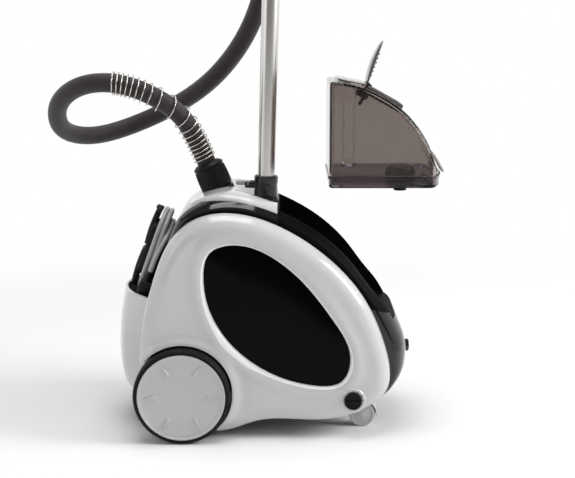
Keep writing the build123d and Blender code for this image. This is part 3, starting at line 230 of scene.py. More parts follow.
SILICONE = extruded_sheath("silicone_tube", "D8D4C8", "E0DCD2")
PRINT = sparked_abs("pad_printed_ink", "2A2A2C", "303032")
HOSE = braided_cover()

LOOKS = {
    WHITE: ("left_side_shell", "right_side_shell", "rear_panel", "top_cover", "dial_bezel", "steam_head",
            "left_caster_fork", "right_caster_fork"),
    CAP_WHITE: ("left_hub_cap", "right_hub_cap", "left_caster_wheel", "right_caster_wheel"),
    BLACK: ("centre_shell",),
    INSET_BLACK: ("side_panels",),
    SATIN_BLACK: ("pole_collar", "lower_clamp", "upper_clamp", "hanger_bracket", "handset_rest",
                  "hose_socket", "steam_dial", "power_button"),
    GREY: ("pole_lock_lever", "lower_clamp_lever", "upper_clamp_lever"),
    CRADLE_BLACK: ("tank_cradle", "inlet_seat"),
    BASE_BLACK: ("base_pan", "left_wheel_rim", "right_wheel_rim", "electrical_parts", "steam_control"),
    NYLON: ("front_hanger_arm", "rear_hanger_arm", "handset_handle", "cord_cleats", "cord_relief",
            "cord_plug", "valve_body", "valve_plunger", "inlet_filter"),
    SMOKED: ("tank_shell", "tank_base"),
    SMOKED_GREY: ("filler_frame", "tank_lid"),
    ALUMINIUM: ("lower_tube", "mid_tube", "upper_tube"),
    NOZZLE: ("nozzle_plate", "heating_element"),
    AXLE: ("rear_axle",),
    TYRE: ("left_wheel_tyre", "right_wheel_tyre"),
    CUFF: ("hose_cuffs",),
    HOSE: ("steam_hose",),
    SPRING: ("spring_guard",),
    SHEATH: ("cord_lead", "cord_coil"),
    SILICONE: ("inner_tubes",),
    CASTING: ("boiler",),
}
for look, names in LOOKS.items():
    for name in names:
        NODES[name].data.materials.clear()
        NODES[name].data.materials.append(look)

# ---------------------------------------------------------------- camera
CAMERA_BACK, CAMERA_UP, CAMERA_DOWN = 1700.0, 593.0, 10.0   # degrees for the last
FOCAL_PIXELS, FRAME_WIDTH = 1189.0, 575
PRINCIPAL_LIFT = 21.0      # pixels that the lens is shifted by

lens = bpy.data.cameras.new("camera")
lens.sensor_width = 36.0
lens.lens = lens.sensor_width * FOCAL_PIXELS / FRAME_WIDTH
lens.shift_y = -PRINCIPAL_LIFT / FRAME_WIDTH
camera = linked("camera", lens)
camera.location = at(0, -CAMERA_BACK, CAMERA_UP)
camera.rotation_euler = (math.radians(90 - CAMERA_DOWN), 0, 0)
bpy.context.scene.camera = camera


# ---------------------------------------------------------------- light and floor
def softbox(name, place_mm, aim_mm, size_mm, power):
    """A rectangular area lamp aimed at a point."""
    lamp = bpy.data.lights.new(name, "AREA")
    lamp.shape = "RECTANGLE"
    lamp.size, lamp.size_y = mm(size_mm[0]), mm(size_mm[1])
    lamp.energy = power
    stand = linked(name, lamp)
    stand.location = at(*place_mm)
    stand.rotation_euler = (at(*aim_mm) - stand.location).to_track_quat("-Z", "Y").to_euler()


softbox("top_softbox", place_mm=(-100, 0, 2200), aim_mm=(0, 0, 200), size_mm=(1700, 1200), power=26)
softbox("left_softbox", place_mm=(-1700, -900, 1100), aim_mm=(-60, 0, 250), size_mm=(700, 1400), power=3)
softbox("right_softbox", place_mm=(1900, -300, 1250), aim_mm=(0, -100, 200), size_mm=(900, 900), power=34)

# The world lights evenly. The camera and clear pieces see it white. Gloss sees it white too, but for
# the dim room in front and above.
EVEN_LEVEL, FRONT_LEVEL, ROOF_LEVEL = 0.41, 0.06, 0.3
world = bpy.data.worlds.new("studio")
bpy.context.scene.world = world
world.use_nodes = True
sky = world.node_tree
rays = add(sky, "ShaderNodeLightPath")
way = add(sky, "ShaderNodeTexCoord").outputs["Generated"]
height = add(sky, "ShaderNodeSeparateXYZ", {"Vector": way})
room = add(sky, "ShaderNodeMapRange", {"Value": height.outputs["Y"], "From Min": -0.8, "From Max": -0.3,
                                       "To Min": FRONT_LEVEL}, interpolation_type="SMOOTHSTEP")
roof = add(sky, "ShaderNodeMapRange", {"Value": height.outputs["Z"], "From Min": 0.35, "From Max": 0.7},
            interpolation_type="SMOOTHSTEP")
gloss_level = add(sky, "ShaderNodeMix", {0: roof.outputs["Result"], 2: room.outputs["Result"], 3: ROOF_LEVEL})
plain = add(sky, "ShaderNodeMix", {0: rays.outputs["Is Glossy Ray"], 2: EVEN_LEVEL,
                                    3: gloss_level.outputs[0]})
clear = add(sky, "ShaderNodeMath", {0: rays.outputs["Is Camera Ray"], 1: rays.outputs["Is Transmission Ray"]},
            operation="MAXIMUM")
level = add(sky, "ShaderNodeMix", {0: clear.outputs[0], 2: plain.outputs[0], 3: 1.0})
sky.links.new(level.outputs[0], sky.nodes["Background"].inputs["Strength"])
sky.nodes["Background"].inputs["Color"].default_value = (1, 1, 1, 1)

# The floor keeps the shadow near the object and fades to the white background round it.
FLOOR_HALF = 6000.0
FADE_FROM, FADE_TO = 500.0, 1300.0
floor_mesh = bpy.data.meshes.new("floor")
corners = [at(x * FLOOR_HALF, y * FLOOR_HALF, 0) for x, y in ((-1, -1), (1, -1), (1, 1), (-1, 1))]
floor_mesh.from_pydata(corners, [], [(0, 1, 2, 3)])
floor = linked("floor", floor_mesh)
floor_look, floor_tree, floor_surface = finish("studio_floor", "F6F6F6", Roughness=0.7)
spot = add(floor_tree, "ShaderNodeTexCoord").outputs["Object"]
reach = add(floor_tree, "ShaderNodeVectorMath", {0: spot}, operation="LENGTH").outputs["Value"]
faded = add(floor_tree, "ShaderNodeMapRange", {"Value": reach, "From Min": mm(FADE_FROM),
                                               "From Max": mm(FADE_TO)}, interpolation_type="SMOOTHSTEP")
floor_rays = add(floor_tree, "ShaderNodeLightPath")
shown = floor_rays.outputs["Is Camera Ray"]
for kind in ("Is Glossy Ray", "Is Transmission Ray"):
    shown = add(floor_tree, "ShaderNodeMath", {0: shown, 1: floor_rays.outputs[kind]},
                operation="MAXIMUM").outputs[0]
share = add(floor_tree, "ShaderNodeMath", {0: shown, 1: faded.outputs["Result"]}, operation="MULTIPLY")
white = add(floor_tree, "ShaderNodeEmission", {"Color": (1, 1, 1, 1), "Strength": 1.0})
blend = add(floor_tree, "ShaderNodeMixShader", {0: share.outputs[0], 1: floor_surface.outputs["BSDF"],
                                                2: white.outputs["Emission"]})
floor_tree.links.new(blend.outputs["Shader"], floor_tree.nodes["Material Output"].inputs["Surface"])
floor_mesh.materials.append(floor_look)

bpy.context.scene.view_settings.view_transform = "Standard"


# ---------------------------------------------------------------- shapes
def through(points, count, closed=False):
    """Smooth curve through drawn points, sampled at even steps along its length."""
    points = np.array(points, float)
    if closed:
        points = np.vstack([points, points[:1]])
    steps = np.linalg.norm(np.diff(points, axis=0), axis=1)
    knots = np.concatenate([[0], np.cumsum(steps)])
    size = len(points)
    matrix, right = np.zeros((size, size)), np.zeros_like(points)
    slopes = np.diff(points, axis=0) / steps[:, None]
    for i in range(1, size - 1):
        matrix[i, i - 1:i + 2] = steps[i - 1], 2 * (steps[i - 1] + steps[i]), steps[i]
        right[i] = 6 * (slopes[i] - slopes[i - 1])
    if closed:
        matrix[0, [0, -1]] = 1, -1
        matrix[-1, [0, 1, -2, -1]] = 2 * steps[0], steps[0], steps[-1], 2 * steps[-1]
        right[-1] = 6 * (slopes[0] - slopes[-1])
    else:
        matrix[0, 0] = matrix[-1, -1] = 1
    bends = np.linalg.solve(matrix, right)

    def curve(where):
        piece = np.clip(np.searchsorted(knots, where, side="right") - 1, 0, size - 2)
        ahead = (where - knots[piece])[:, None]
        step = steps[piece][:, None]
        rise = slopes[piece] - step * (2 * bends[piece] + bends[piece + 1]) / 6
        return points[piece] + ahead * (rise + ahead * (bends[piece] / 2
                                        + ahead * (bends[piece + 1] - bends[piece]) / (6 * step)))

    fine = curve(np.linspace(0, knots[-1], 40 * size))
    travelled = np.concatenate([[0], np.cumsum(np.linalg.norm(np.diff(fine, axis=0), axis=1))])
    wanted = np.linspace(0, travelled[-1], count + 1 if closed else count)
    even = np.stack([np.interp(wanted, travelled, fine[:, k]) for k in range(points.shape[1])], axis=1)
    return even[:-1] if closed else even


def straight_to(start, end):
    """Points about 5 mm apart along a straight run, without its two ends."""
    start, end = np.array(start, float), np.array(end, float)
    count = max(int(np.linalg.norm(end - start) / 5), 1)
    return [start + (end - start) * k / count for k in range(1, count)]


def softened(outline, rounds):
    """Closed outline with its corners rounded by repeated averaging."""
    outline = np.array(outline, float)
    for _ in range(rounds):
        outline = (np.roll(outline, 1, axis=0) + 2 * outline + np.roll(outline, -1, axis=0)) / 4
    return outline


def outward(outline):
    """Unit normals of a closed X, Z outline, pointing out of it."""
    ahead = np.roll(outline, -1, axis=0) - np.roll(outline, 1, axis=0)
    normals = np.stack([ahead[:, 1], -ahead[:, 0]], axis=1)
    normals /= np.linalg.norm(normals, axis=1)[:, None]
    area = np.sum(outline[:, 0] * np.roll(outline[:, 1], -1) - np.roll(outline[:, 0], -1) * outline[:, 1])
    return normals if area > 0 else -normals


def piece_from(name, points, faces, look, sharp=35.0):
    """Mesh object from drawn points, with its normals made to point out of it."""
    mesh = bpy.data.meshes.new(name)
    mesh.from_pydata([at(*p) for p in points], [], [list(f) for f in faces])
    shape = bmesh.new()
    shape.from_mesh(mesh)
    bmesh.ops.remove_doubles(shape, verts=shape.verts, dist=mm(0.01))
    bmesh.ops.recalc_face_normals(shape, faces=shape.faces)
    shape.to_mesh(mesh)
    shape.free()
    mesh.shade_smooth()
    mesh.set_sharp_from_angle(angle=math.radians(sharp))
    mesh.materials.append(look)
    return linked(name, mesh)


def skin(name, rows, look, along=False, caps=False, sharp=35.0):
    """Surface over closed rows of points; along joins the last row to the first, caps closes both ends."""
    rows = [[tuple(p) for p in row] for row in rows]
    count, width = len(rows), len(rows[0])
    faces = []
    for i in range(count if along else count - 1):
        for j in range(width):
            a, b = i * width + j, i * width + (j + 1) % width
            c, d = (i + 1) % count * width + (j + 1) % width, (i + 1) % count * width + j
            faces.append((a, b, c, d))
    if caps:
        faces += [tuple(range(width)), tuple(range((count - 1) * width, count * width))]
    return piece_from(name, [p for row in rows for p in row], faces, look, sharp)


def even_angles(count):
    """A whole turn in even steps, in radians."""
    return np.linspace(0, 2 * math.pi, count + 1)[:-1]


def boxy(value, power):
    """A sine or cosine drawn out towards 1 or -1, which squares a round section off."""
    return math.copysign(abs(value) ** power, value)


def axes_for(direction):
    """Two unit vectors square to a direction and to each other."""
    direction = Vector(direction).normalized()
    side = direction.cross(Vector((0, 0, 1)) if abs(direction.z) < 0.9 else Vector((1, 0, 0))).normalized()
    return side, side.cross(direction).normalized()


def lathe(name, profile, origin, axis, look, count=96, closed=True, sharp=35.0):
    """Turned piece: the profile's radius and distance pairs are spun round an axis through a point."""
    origin, axis = Vector(origin), Vector(axis).normalized()
    side, up = axes_for(axis)
    rows = []
    for radius, distance in profile:
        rows.append([origin + axis * distance + (side * math.cos(a) + up * math.sin(a)) * max(radius, 0.001)
                     for a in (2 * math.pi * k / count for k in range(count))])
    return skin(name, rows, look, along=closed, sharp=sharp)


def rounded(profile, radius, steps=3):
    """Closed radius and distance profile with each corner rounded as far as its runs allow."""
    out = []
    count = len(profile)
    for i in range(count):
        here = Vector(profile[i])
        before, after = Vector(profile[i - 1]) - here, Vector(profile[(i + 1) % count]) - here
        reach = min(radius, before.length * 0.45, after.length * 0.45)
        start, end = here + before.normalized() * reach, here + after.normalized() * reach
        for k in range(steps + 1):
            t = k / steps
            point = start * (1 - t) ** 2 + here * (2 * t * (1 - t)) + end * t * t
            out.append((point.x, point.y))
    return out


def prism(name, outline, y_from, y_to, edge, look, steps=5, reach=None):
    """Side-view outline spread between two Y planes.

    Its rims fall by edge over reach, each of them one value or one a point.
    """
    outline = np.array(outline, float)
    normals = outward(outline)
    fall = np.broadcast_to(edge, len(outline))
    over = fall if reach is None else np.broadcast_to(reach, len(outline))
    low, high = sorted((y_from, y_to))
    turns = [math.pi / 2 * k / steps for k in range(steps + 1)]
    rows = []
    for start, inward, turn in [(low, 1, t) for t in turns] + [(high, -1, t) for t in reversed(turns)]:
        ring = outline - normals * (fall * (1 - math.sin(turn)))[:, None]
        across = start + inward * over * (1 - math.cos(turn))
        rows.append([(x, y, z) for (x, z), y in zip(ring, across)])
    return skin(name, rows, look, caps=True, sharp=40)


def cushion_box(name, low, high, edge, look, turn=None, steps=4):
    """Block between two corners with rounded edges; turn is a matrix that places it in the drawings."""
    shape = bmesh.new()
    bmesh.ops.create_cube(shape, size=1.0)
    low, high = Vector(low), Vector(high)
    for vert in shape.verts:
        vert.co = Vector([low[k] + (high[k] - low[k]) * (vert.co[k] + 0.5) for k in range(3)])
    if edge:
        bmesh.ops.bevel(shape, geom=shape.edges[:], offset=edge, segments=steps, profile=0.5, affect="EDGES",
                        clamp_overlap=True)
    if turn is not None:
        bmesh.ops.transform(shape, matrix=turn, verts=shape.verts)
    shape.verts.index_update()
    points = [tuple(v.co) for v in shape.verts]
    faces = [tuple(v.index for v in f.verts) for f in shape.faces]
    shape.free()
    return piece_from(name, points, faces, look)


def cylinder(name, radius, start, end, look, edge=0.8, count=64, turn=None):
    """Rod between two points with softened rims; turn is a matrix that places it in the drawings."""
    start, end = Vector(start), Vector(end)
    if turn is not None:
        start, end = turn @ start, turn @ end
    length = (end - start).length
    profile = [(0, 0), (radius - edge, 0), (radius, edge), (radius, length - edge), (radius - edge, length),
               (0, length)]
    return lathe(name, profile, start, end - start, look, count, closed=False)


def rod_across(name, radius, place, y_from, y_to, look, edge=0.1, count=64):
    """Rod along Y at an X, Z place of the side view."""
    x, z = place
    return cylinder(name, radius, (x, y_from, z), (x, y_to, z), look, edge, count)


def mesh_of(owner):
    """What an object's own line and modifiers make, as a new mesh."""
    bpy.context.view_layer.update()
    view = bpy.context.evaluated_depsgraph_get()
    return bpy.data.meshes.new_from_object(owner.evaluated_get(view), preserve_all_data_layers=True,
                                           depsgraph=view)


def settled(piece):
    """Turn a piece's modifiers into its mesh."""
    mesh = mesh_of(piece)
    piece.modifiers.clear()
    piece.data = mesh
    mesh.name = piece.name
    return piece


def cut(piece, *cutters, operation="DIFFERENCE"):
    """Boolean with other pieces, which are used up."""
    for cutter in cutters:
        step = piece.modifiers.new("cut", "BOOLEAN")
        step.operation, step.solver, step.object = operation, "EXACT", cutter
        settled(piece)
        bpy.data.objects.remove(cutter)
    piece.data.shade_smooth()
    piece.data.set_sharp_from_angle(angle=math.radians(35))
    return piece


def joined(name, pieces):
    """Several pieces as one mesh, each keeping its own finish."""
    looks, shape = [], bmesh.new()
    for piece in pieces:
        before = len(shape.faces)
        shape.from_mesh(piece.data)
        shape.faces.ensure_lookup_table()
        slots = []
        for look in piece.data.materials:
            if look not in looks:
                looks.append(look)
            slots.append(looks.index(look))
        for face in shape.faces[before:]:
            face.material_index = slots[min(face.material_index, len(slots) - 1)]
    mesh = bpy.data.meshes.new(name)
    shape.to_mesh(mesh)
    shape.free()
    for look in looks:
        mesh.materials.append(look)
    mesh.shade_smooth()
    mesh.set_sharp_from_angle(angle=math.radians(35))
    for piece in pieces:
        bpy.data.objects.remove(piece)
    return linked(name, mesh)


def mirrored(piece, name):
    """Left-hand copy of a right-hand piece."""
    mesh = piece.data.copy()
    mesh.transform(Matrix.Scale(-1, 4, (0, 1, 0)))
    mesh.flip_normals()
    return linked(name, mesh)


def fit(piece, body, slot, *nodes):
    """The piece moves with a body and stands for its CAD nodes, which are hidden; slot is not used."""
    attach(piece, body)
    if nodes:
        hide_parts(*nodes)
    return piece


def fit_pair(right, left_name, body, slot, node):
    """A right-hand piece and its mirrored copy, each fitted to its own side's body and CAD node."""
    fit(mirrored(right, left_name), "left_" + body, slot, "left_" + node)
    fit(right, "right_" + body, slot, "right_" + node)


def leaning(origin, degrees):
    """Frame at a point of the drawings, turned about Y."""
    return Matrix.Translation(Vector(origin)) @ Matrix.Rotation(math.radians(degrees), 4, "Y")


POLE = leaning((-32, 0, 311), 1.6)
LIFT_ANGLE, LIFT_TRAVEL = math.radians(20), 194.0
TANK = leaning((-9 + math.sin(LIFT_ANGLE) * LIFT_TRAVEL, 0, 165.3 + math.cos(LIFT_ANGLE) * LIFT_TRAVEL), 0)
FILLER = TANK @ leaning((56, 0, 139), 29)
LID = FILLER @ Matrix.Rotation(math.radians(-99), 4, "Y")
HANDSET = leaning((-18, 56, 800), 1.6)
CLEAT_SINE, CLEAT_COSINE = 0.3434, 0.9392      # of the 20.1 degrees that the cleats' face leans from upright
CLEATS = Matrix(((0, -CLEAT_SINE, -CLEAT_COSINE, -177.6), (1, 0, 0, 0), (0, -CLEAT_COSINE, CLEAT_SINE, 243.8),
                 (0, 0, 0, 1)))


def both_sides(near, far):
    """Low and high Y of a piece on the right side and of its twin on the left."""
    return (-far, -near), (near, far)


def placed(turn, points):
    """Points of a frame as points of the drawings."""
    return [tuple(turn @ Vector(p)) for p in points]


# ---------------------------------------------------------------- housing
CORE_HALF = 96.0
WHEEL = (-146.0, 67.0)     # X, Z of the rear axle
DIAL = (91.0, 57.0)        # X, Z of the dial's middle
WHEEL_R, WHEEL_FACE = 67.0, 140.0
ARCH_R = 69.8
CORE_CROWN = [(-158, 296), (-146, 313), (-120, 328), (-77, 337), (-40, 331), (-9, 319), (47, 288),
              (93, 242), (118, 208), (140, 186), (158, 155), (165, 139), (169, 124), (170, 110),
              (168.6, 98), (165.5, 87), (159, 77), (148.6, 65), (140.5, 55)]
SHELL_OUTLINE = [(-207, 91), (-202, 162), (-184, 229), (-160, 281), (-128, 308), (-85, 317), (-13, 299),
                 (54, 256), (106, 198), (136.5, 129), (142.5, 105), (144, 86), (142.5, 73), (138, 63),
                 (128.5, 52.5), (117, 45), (92, 34.5), (64, 27)]
SHELL_FOOT = [(64, 27), (10, 26), (-36, 25), (-58, 19), (-77, 12), (-99, 9)]
OVAL = [(-115, 228), (-106, 264), (-74, 275), (-21, 258), (22, 222), (63, 169), (87, 112), (76, 83),
        (33, 77), (-32, 99), (-81, 139), (-109, 189)]
CRADLE_REAR, CRADLE_HALF, CRADLE_FLOOR = -14.0, 76.5, 162.0
CASTER = (107.0, 56.0, 18.5)      # middle of the twin wheels, its Y without a side
CASTER_STEM_X, POCKET_ROOF, STEM_TOP = 99.0, 42.0, 64.0
NECK_FOOT, NECK_TOP = (-93.4, 0, 320.8), (-116, 0, 374)   # line of the hole for the hose's socket


def outline_of(*corners):
    """Points along the straight runs between corners, with the corners."""
    points = [corners[0]]
    for start, end in zip(corners, corners[1:]):
        points += [*straight_to(start, end), end]
    return points


def core_outline():
    """Closed side outline of the centre shell, whose foot steps up over the casters."""
    crown = through(CORE_CROWN, 150)
    foot = outline_of(CORE_CROWN[0], (-204, 170), (-204, 28), (58, 28), (63, 46), (122, 46), CORE_CROWN[-1])
    return softened([*crown[::-1], *foot[1:-1]], 8)


def shell_outline():
    """Closed side outline of the white side shells."""
    crown = through([*SHELL_FOOT[::-1], *SHELL_OUTLINE[::-1][1:]], 300)
    rear = outline_of(SHELL_OUTLINE[0], (-198, 67), (-150, 40), SHELL_FOOT[-1])
    return softened([*crown, *rear[1:-1]], 6)


CORE, SHELL = core_outline(), shell_outline()
CORE_FALL = np.array([np.clip(np.linalg.norm(SHELL - point, axis=1).min() - 1.5, 8, 24) for point in CORE])
for _ in range(20):
    CORE_FALL = (np.roll(CORE_FALL, 1) + 2 * CORE_FALL + np.roll(CORE_FALL, -1)) / 4
CORE_REACH = CORE_FALL * 2.25
COLLAR_X, DISH_R = -32.0, 34.0
BUTTON_Z = 103.0
MATT_FROM, MATT_SLOPE = 222.0, 0.35   # height at X 0 and slope of the line above which the bay's rim is matt


def core_body(name, inset, look):
    """The centre shell's form, or the same some way in: it falls away to both sides, down to the shells."""
    return prism(name, CORE - outward(CORE) * inset, -CORE_HALF + inset, CORE_HALF - inset, CORE_FALL, look,
                 12, reach=CORE_REACH)


def collar_room(radius, low, look):
    """Round space for the pole's collar and what stands round it."""
    return lathe("collar_room", [(0, low), (radius, low), (radius, 80), (0, 80)], POLE.translation,
                 POLE.col[2].to_3d(), look, closed=False)


def make_centre_shell():
    """Glossy middle of the housing: rounded over both sides, open for the tank's bay, with a thin wall."""
    shell = core_body("housing_centre", 0, BLACK)
    inner = core_body("inner", 3, BLACK)
    bay = cushion_box("bay", (CRADLE_REAR, -CRADLE_HALF, CRADLE_FLOOR), (260, CRADLE_HALF, 400), 0, BLACK)
    neck = cylinder("neck", 23.5, NECK_FOOT, NECK_TOP, BLACK, edge=0.1)
    dish = collar_room(DISH_R + 10, -12, BLACK)
    button = cylinder("button_hole", 9.3, (140, 0, BUTTON_Z), (190, 0, BUTTON_Z), BLACK, edge=0.1)
    mouth = cushion_box("mouth", (-192, -80, 20), (56, 80, 36), 0, BLACK)
    sockets = [cylinder("socket", 8.4, (CASTER_STEM_X, y, 40), (CASTER_STEM_X, y, 55), BLACK, edge=0.1)
               for y in (-CASTER[1], CASTER[1])]
    cut(shell, inner, bay, neck, dish, button, mouth, *sockets)
    shell.data.materials.append(CRADLE_BLACK)
    form = bmesh.new()
    form.from_mesh(shell.data)
    for place, way in (((0, 0, MATT_FROM), (MATT_SLOPE, 0, 1)), ((CRADLE_REAR + 0.4, 0, 0), (1, 0, 0))):
        geometry = [*form.verts, *form.edges, *form.faces]
        bmesh.ops.bisect_plane(form, geom=geometry, plane_co=at(*place), plane_no=way, dist=mm(0.001))
    for face in form.faces:
        middle = drawn(face.calc_center_median())
        if middle.x > CRADLE_REAR + 0.4 and middle.z + MATT_SLOPE * middle.x > MATT_FROM:
            face.material_index = 1
    form.to_mesh(shell.data)
    form.free()
    return shell


def make_cradle():
    """Matt liner of the bay: a floor, a rear wall and side walls that end just under the shell's rim."""
    liner = core_body("bay_liner", 0.7, CRADLE_BLACK)
    space = cushion_box("space", (CRADLE_REAR + 0.1, 0.1 - CRADLE_HALF, CRADLE_FLOOR + 0.1),
                        (260, CRADLE_HALF - 0.1, 400), 0, CRADLE_BLACK)
    cut(liner, space, operation="INTERSECT")
    room = cushion_box("room", (CRADLE_REAR + 2, 2 - CRADLE_HALF, CRADLE_FLOOR + 3),
                       (400, CRADLE_HALF - 2, 460), 4, CRADLE_BLACK, steps=5)
    slot = [cylinder("slot", 14, (x, 0, CRADLE_FLOOR - 2), (x, 0, CRADLE_FLOOR + 5), CRADLE_BLACK, 0.1)
            for x in (96, 100, 104)]
    return cut(liner, room, *slot, collar_room(19.3, -12, CRADLE_BLACK))


SWELL, SWELL_REACH = 22.0, 24.0               # rounding from the outline up to the face
FOOT_SWELL, FOOT_SLANT, FOOT_REACH = 11.0, 11.0, 20.0     # flatter slant that replaces it along the foot
FOOT_Z, FOOT_FADE, FOOT_X, FOOT_END = 52.0, 7.0, 118.0, 8.0     # where that is so, and how softly it ends
LIP_DROP, LIP_REACH = 6.0, 7.0                # turned-in lip round the oval
RIM_RISE, RIM_GAP, RIM_SPREAD = 2.2, 12.0, 9.0            # raised rim behind the lip
ARCH_RISE, ARCH_SPREAD = 5.5, 8.0             # raised edge of the wheel arch
OVAL_MIDDLE = np.array([-22.0, 172.0])        # the shell's spokes run out from here
LIP_EDGE, HIGHLIGHT_RINGS = 104.0, 6                # where the lip ends, and how many of its rings take a painted highlight in brighter white


def shell_height(edge_gap, lip_gap, x, z):
    """How far out the side shell's face lies, from a point's gaps to the outline and to the oval."""
    low = 1 / (1 + math.exp((z - FOOT_Z) / FOOT_FADE))       # 1 along the foot, 0 above
    low *= 1 / (1 + math.exp((x - FOOT_X) / FOOT_END))
    swell = min(edge_gap / SWELL_REACH, 1)
    side = SWELL * math.sqrt(1 - (1 - swell) ** 2)
    foot = FOOT_SWELL + FOOT_SLANT * min(edge_gap / FOOT_REACH, 1) ** 0.8
    rise = side * (1 - low) + foot * low
    inner = min(lip_gap / LIP_REACH, 1)
    rise -= LIP_DROP * (1 - math.sqrt(1 - (1 - inner) ** 2))
    rise += RIM_RISE * math.exp(-((lip_gap - RIM_GAP) / RIM_SPREAD) ** 2)
    reach = math.hypot(x - WHEEL[0], z - WHEEL[1])
    rise += ARCH_RISE * math.exp(-(max(reach - ARCH_R - 1, 0) / ARCH_SPREAD) ** 2)
    return CORE_HALF + rise


def make_side_shell():
    """White shell round the oval panel: swollen rim, turned-in lip, raised wheel arch and a creased foot."""
    turn = even_angles(360)

    def seen_at(curve):
        spoke = curve - OVAL_MIDDLE
        where = np.unwrap(np.arctan2(spoke[:, 1], spoke[:, 0]))
        if where[-1] < where[0]:
            where, curve = where[::-1], curve[::-1]
        start = where[0]
        wanted = (turn - start) % (2 * math.pi) + start
        loop = np.vstack([curve, curve[:1]])
        marks = np.append(where, start + 2 * math.pi)
        return np.stack([np.interp(wanted, marks, loop[:, k]) for k in (0, 1)], axis=1)

    outer, inner = seen_at(SHELL), seen_at(through(OVAL, 400, closed=True))
    rows = []
    shares = np.concatenate([[0, 0.012, 0.03, 0.055], np.linspace(0.085, 0.93, 30),
                             [0.95, 0.965, 0.98, 0.99, 1]])
    for share in shares:
        row = []
        for rim, lip in zip(outer, inner):
            x, z = rim + (lip - rim) * share
            width = float(np.linalg.norm(lip - rim))
            row.append((x, -shell_height(share * width, (1 - share) * width, x, z), z))
        rows.append(row)
    rows.append([(x, -LIP_EDGE, z) for x, z in inner])
    rows.append([(x, -CORE_HALF, z) for x, z in outer + (inner - outer) * 0.02])
    shell = skin("housing_side_right", rows, WHITE, along=True)
    # The lip's last rings take the brighter white, a painted highlight along the oval's edge.
    shell.data.materials.append(LIP_HIGHLIGHT_WHITE)
    for face in shell.data.polygons:
        if len(shares) - HIGHLIGHT_RINGS <= face.index // len(turn) < len(shares):
            face.material_index = 1
    arch = rod_across("arch", ARCH_R, WHEEL, -150, -60, WHITE, count=128)
    shaft = rod_across("shaft", 4, DIAL, -150, -60, WHITE)
    return cut(shell, arch, shaft)


OVAL_BACK, OVAL_FACE, OVAL_BULGE = 106.0, 112.5, 9.5


def make_oval_panel():
    """Black lens set into the side shell: it bulges a little towards its middle."""
    rim = through(OVAL, 240, closed=True)
    middle = rim.mean(axis=0)
    rows = []
    for share in np.concatenate([np.linspace(0, 0.9, 18), [0.96]]):
        bulge = OVAL_BULGE * (1 - (1 - share) ** 2.2)
        loop = (rim * 0.998 + middle * 0.002) * (1 - share) + middle * share
        rows.append([(x, -OVAL_FACE - bulge, z) for x, z in loop])
    back = [[(x, -OVAL_BACK, z) for x, z in rim]]
    return skin("oval_panel_right", back + rows, INSET_BLACK, caps=True)


COVER_PLAN = [(-141, 26), (-135, 48), (-120, 68), (-92, 81), (-52, 86), (-14, 86)]
COVER_TOP = [(-141, 319), (-120, 333), (-95, 341), (-77, 342.5), (-58, 340), (-40, 335), (-14, 326)]
COVER_EDGE_DROP, COVER_WALL, DISH_DEPTH = 3.5, 10.0, 16.0


def make_top_cover():
    """White cover behind the bay: it follows the crown to both sides and is dished round the pole's foot."""
    crown, plan = through(COVER_TOP, 90), through(COVER_PLAN, 200)
    top = CORE[CORE[:, 1] > 280]
    fall, over = CORE_FALL[CORE[:, 1] > 280], CORE_REACH[CORE[:, 1] > 280]
    order = np.argsort(top[:, 0])
    rows = []
    for x, z in crown:
        half = float(np.interp(x, plan[:, 0], plan[:, 1]))
        drop, width = (float(np.interp(x, top[order, 0], values[order])) for values in (fall, over))
        row = []
        for share in np.sin(np.linspace(-math.pi / 2, math.pi / 2, 61)):
            y = half * share
            beyond = min(max((abs(y) - CORE_HALF + width) / width, 0), 1)
            height = z - drop * (1 - math.sqrt(1 - beyond ** 2))
            height -= COVER_EDGE_DROP * max((abs(share) - 0.93) / 0.07, 0) ** 2
            reach = math.hypot(x - COLLAR_X, y * 0.8)
            row.append((x, y, height - DISH_DEPTH * math.exp(-(reach / DISH_R) ** 2.6)))
        rows.append([(x, -half, row[0][2] - COVER_WALL), *row, (x, half, row[-1][2] - COVER_WALL)])
    cover = skin("top_cover_moulding", rows, WHITE, caps=True, sharp=50)
    neck = cylinder("neck", 23.9, NECK_FOOT, NECK_TOP, WHITE, edge=0.1)
    return cut(cover, neck, collar_room(19.4, -12, WHITE))


REAR_PROFILE = [(-224, 41), (-236, 53), (-245.5, 81), (-247.5, 112), (-243.5, 162), (-237.5, 197)]
# In plan the panel goes from its middle over two bowed points and two corners to the ends of its cheeks.
REAR_BOW, BOW_HALF, REAR_CORNER, CORNER_HALF, CHEEK_X, REAR_HALF = 7.0, 40.0, 19.0, 64.0, -190.0, 104.0
REAR_WALL = 3.0


def make_rear_panel():
    """White lower rear panel: a bowed back, two soft corners and slanted cheeks up to the side shells."""
    rows = []
    for x, z in through(REAR_PROFILE, 60):
        plan = [(CHEEK_X, -REAR_HALF), (x + REAR_CORNER, -CORNER_HALF), (x + REAR_BOW, -BOW_HALF), (x, 0),
                (x + REAR_BOW, BOW_HALF), (x + REAR_CORNER, CORNER_HALF), (CHEEK_X, REAR_HALF)]
        for _ in range(3):
            halves = [[(3 * a[0] + b[0]) / 4, (3 * a[1] + b[1]) / 4, (a[0] + 3 * b[0]) / 4,
                       (a[1] + 3 * b[1]) / 4] for a, b in zip(plan, plan[1:])]
            plan = [plan[0], *[p for h in halves for p in (h[:2], h[2:])], plan[-1]]
        inner = [(px + REAR_WALL, y - math.copysign(min(REAR_WALL * 0.7, abs(y)), y)) for px, y in plan[::-1]]
        rows.append([(px, py, z) for px, py in [*plan, *inner]])
    panel = skin("rear_panel_moulding", rows, WHITE, caps=True, sharp=24)
    arches = [rod_across("arch", ARCH_R, WHEEL, low, low + 52, WHITE, count=128) for low in (-150, 98)]
    return cut(panel, *arches)


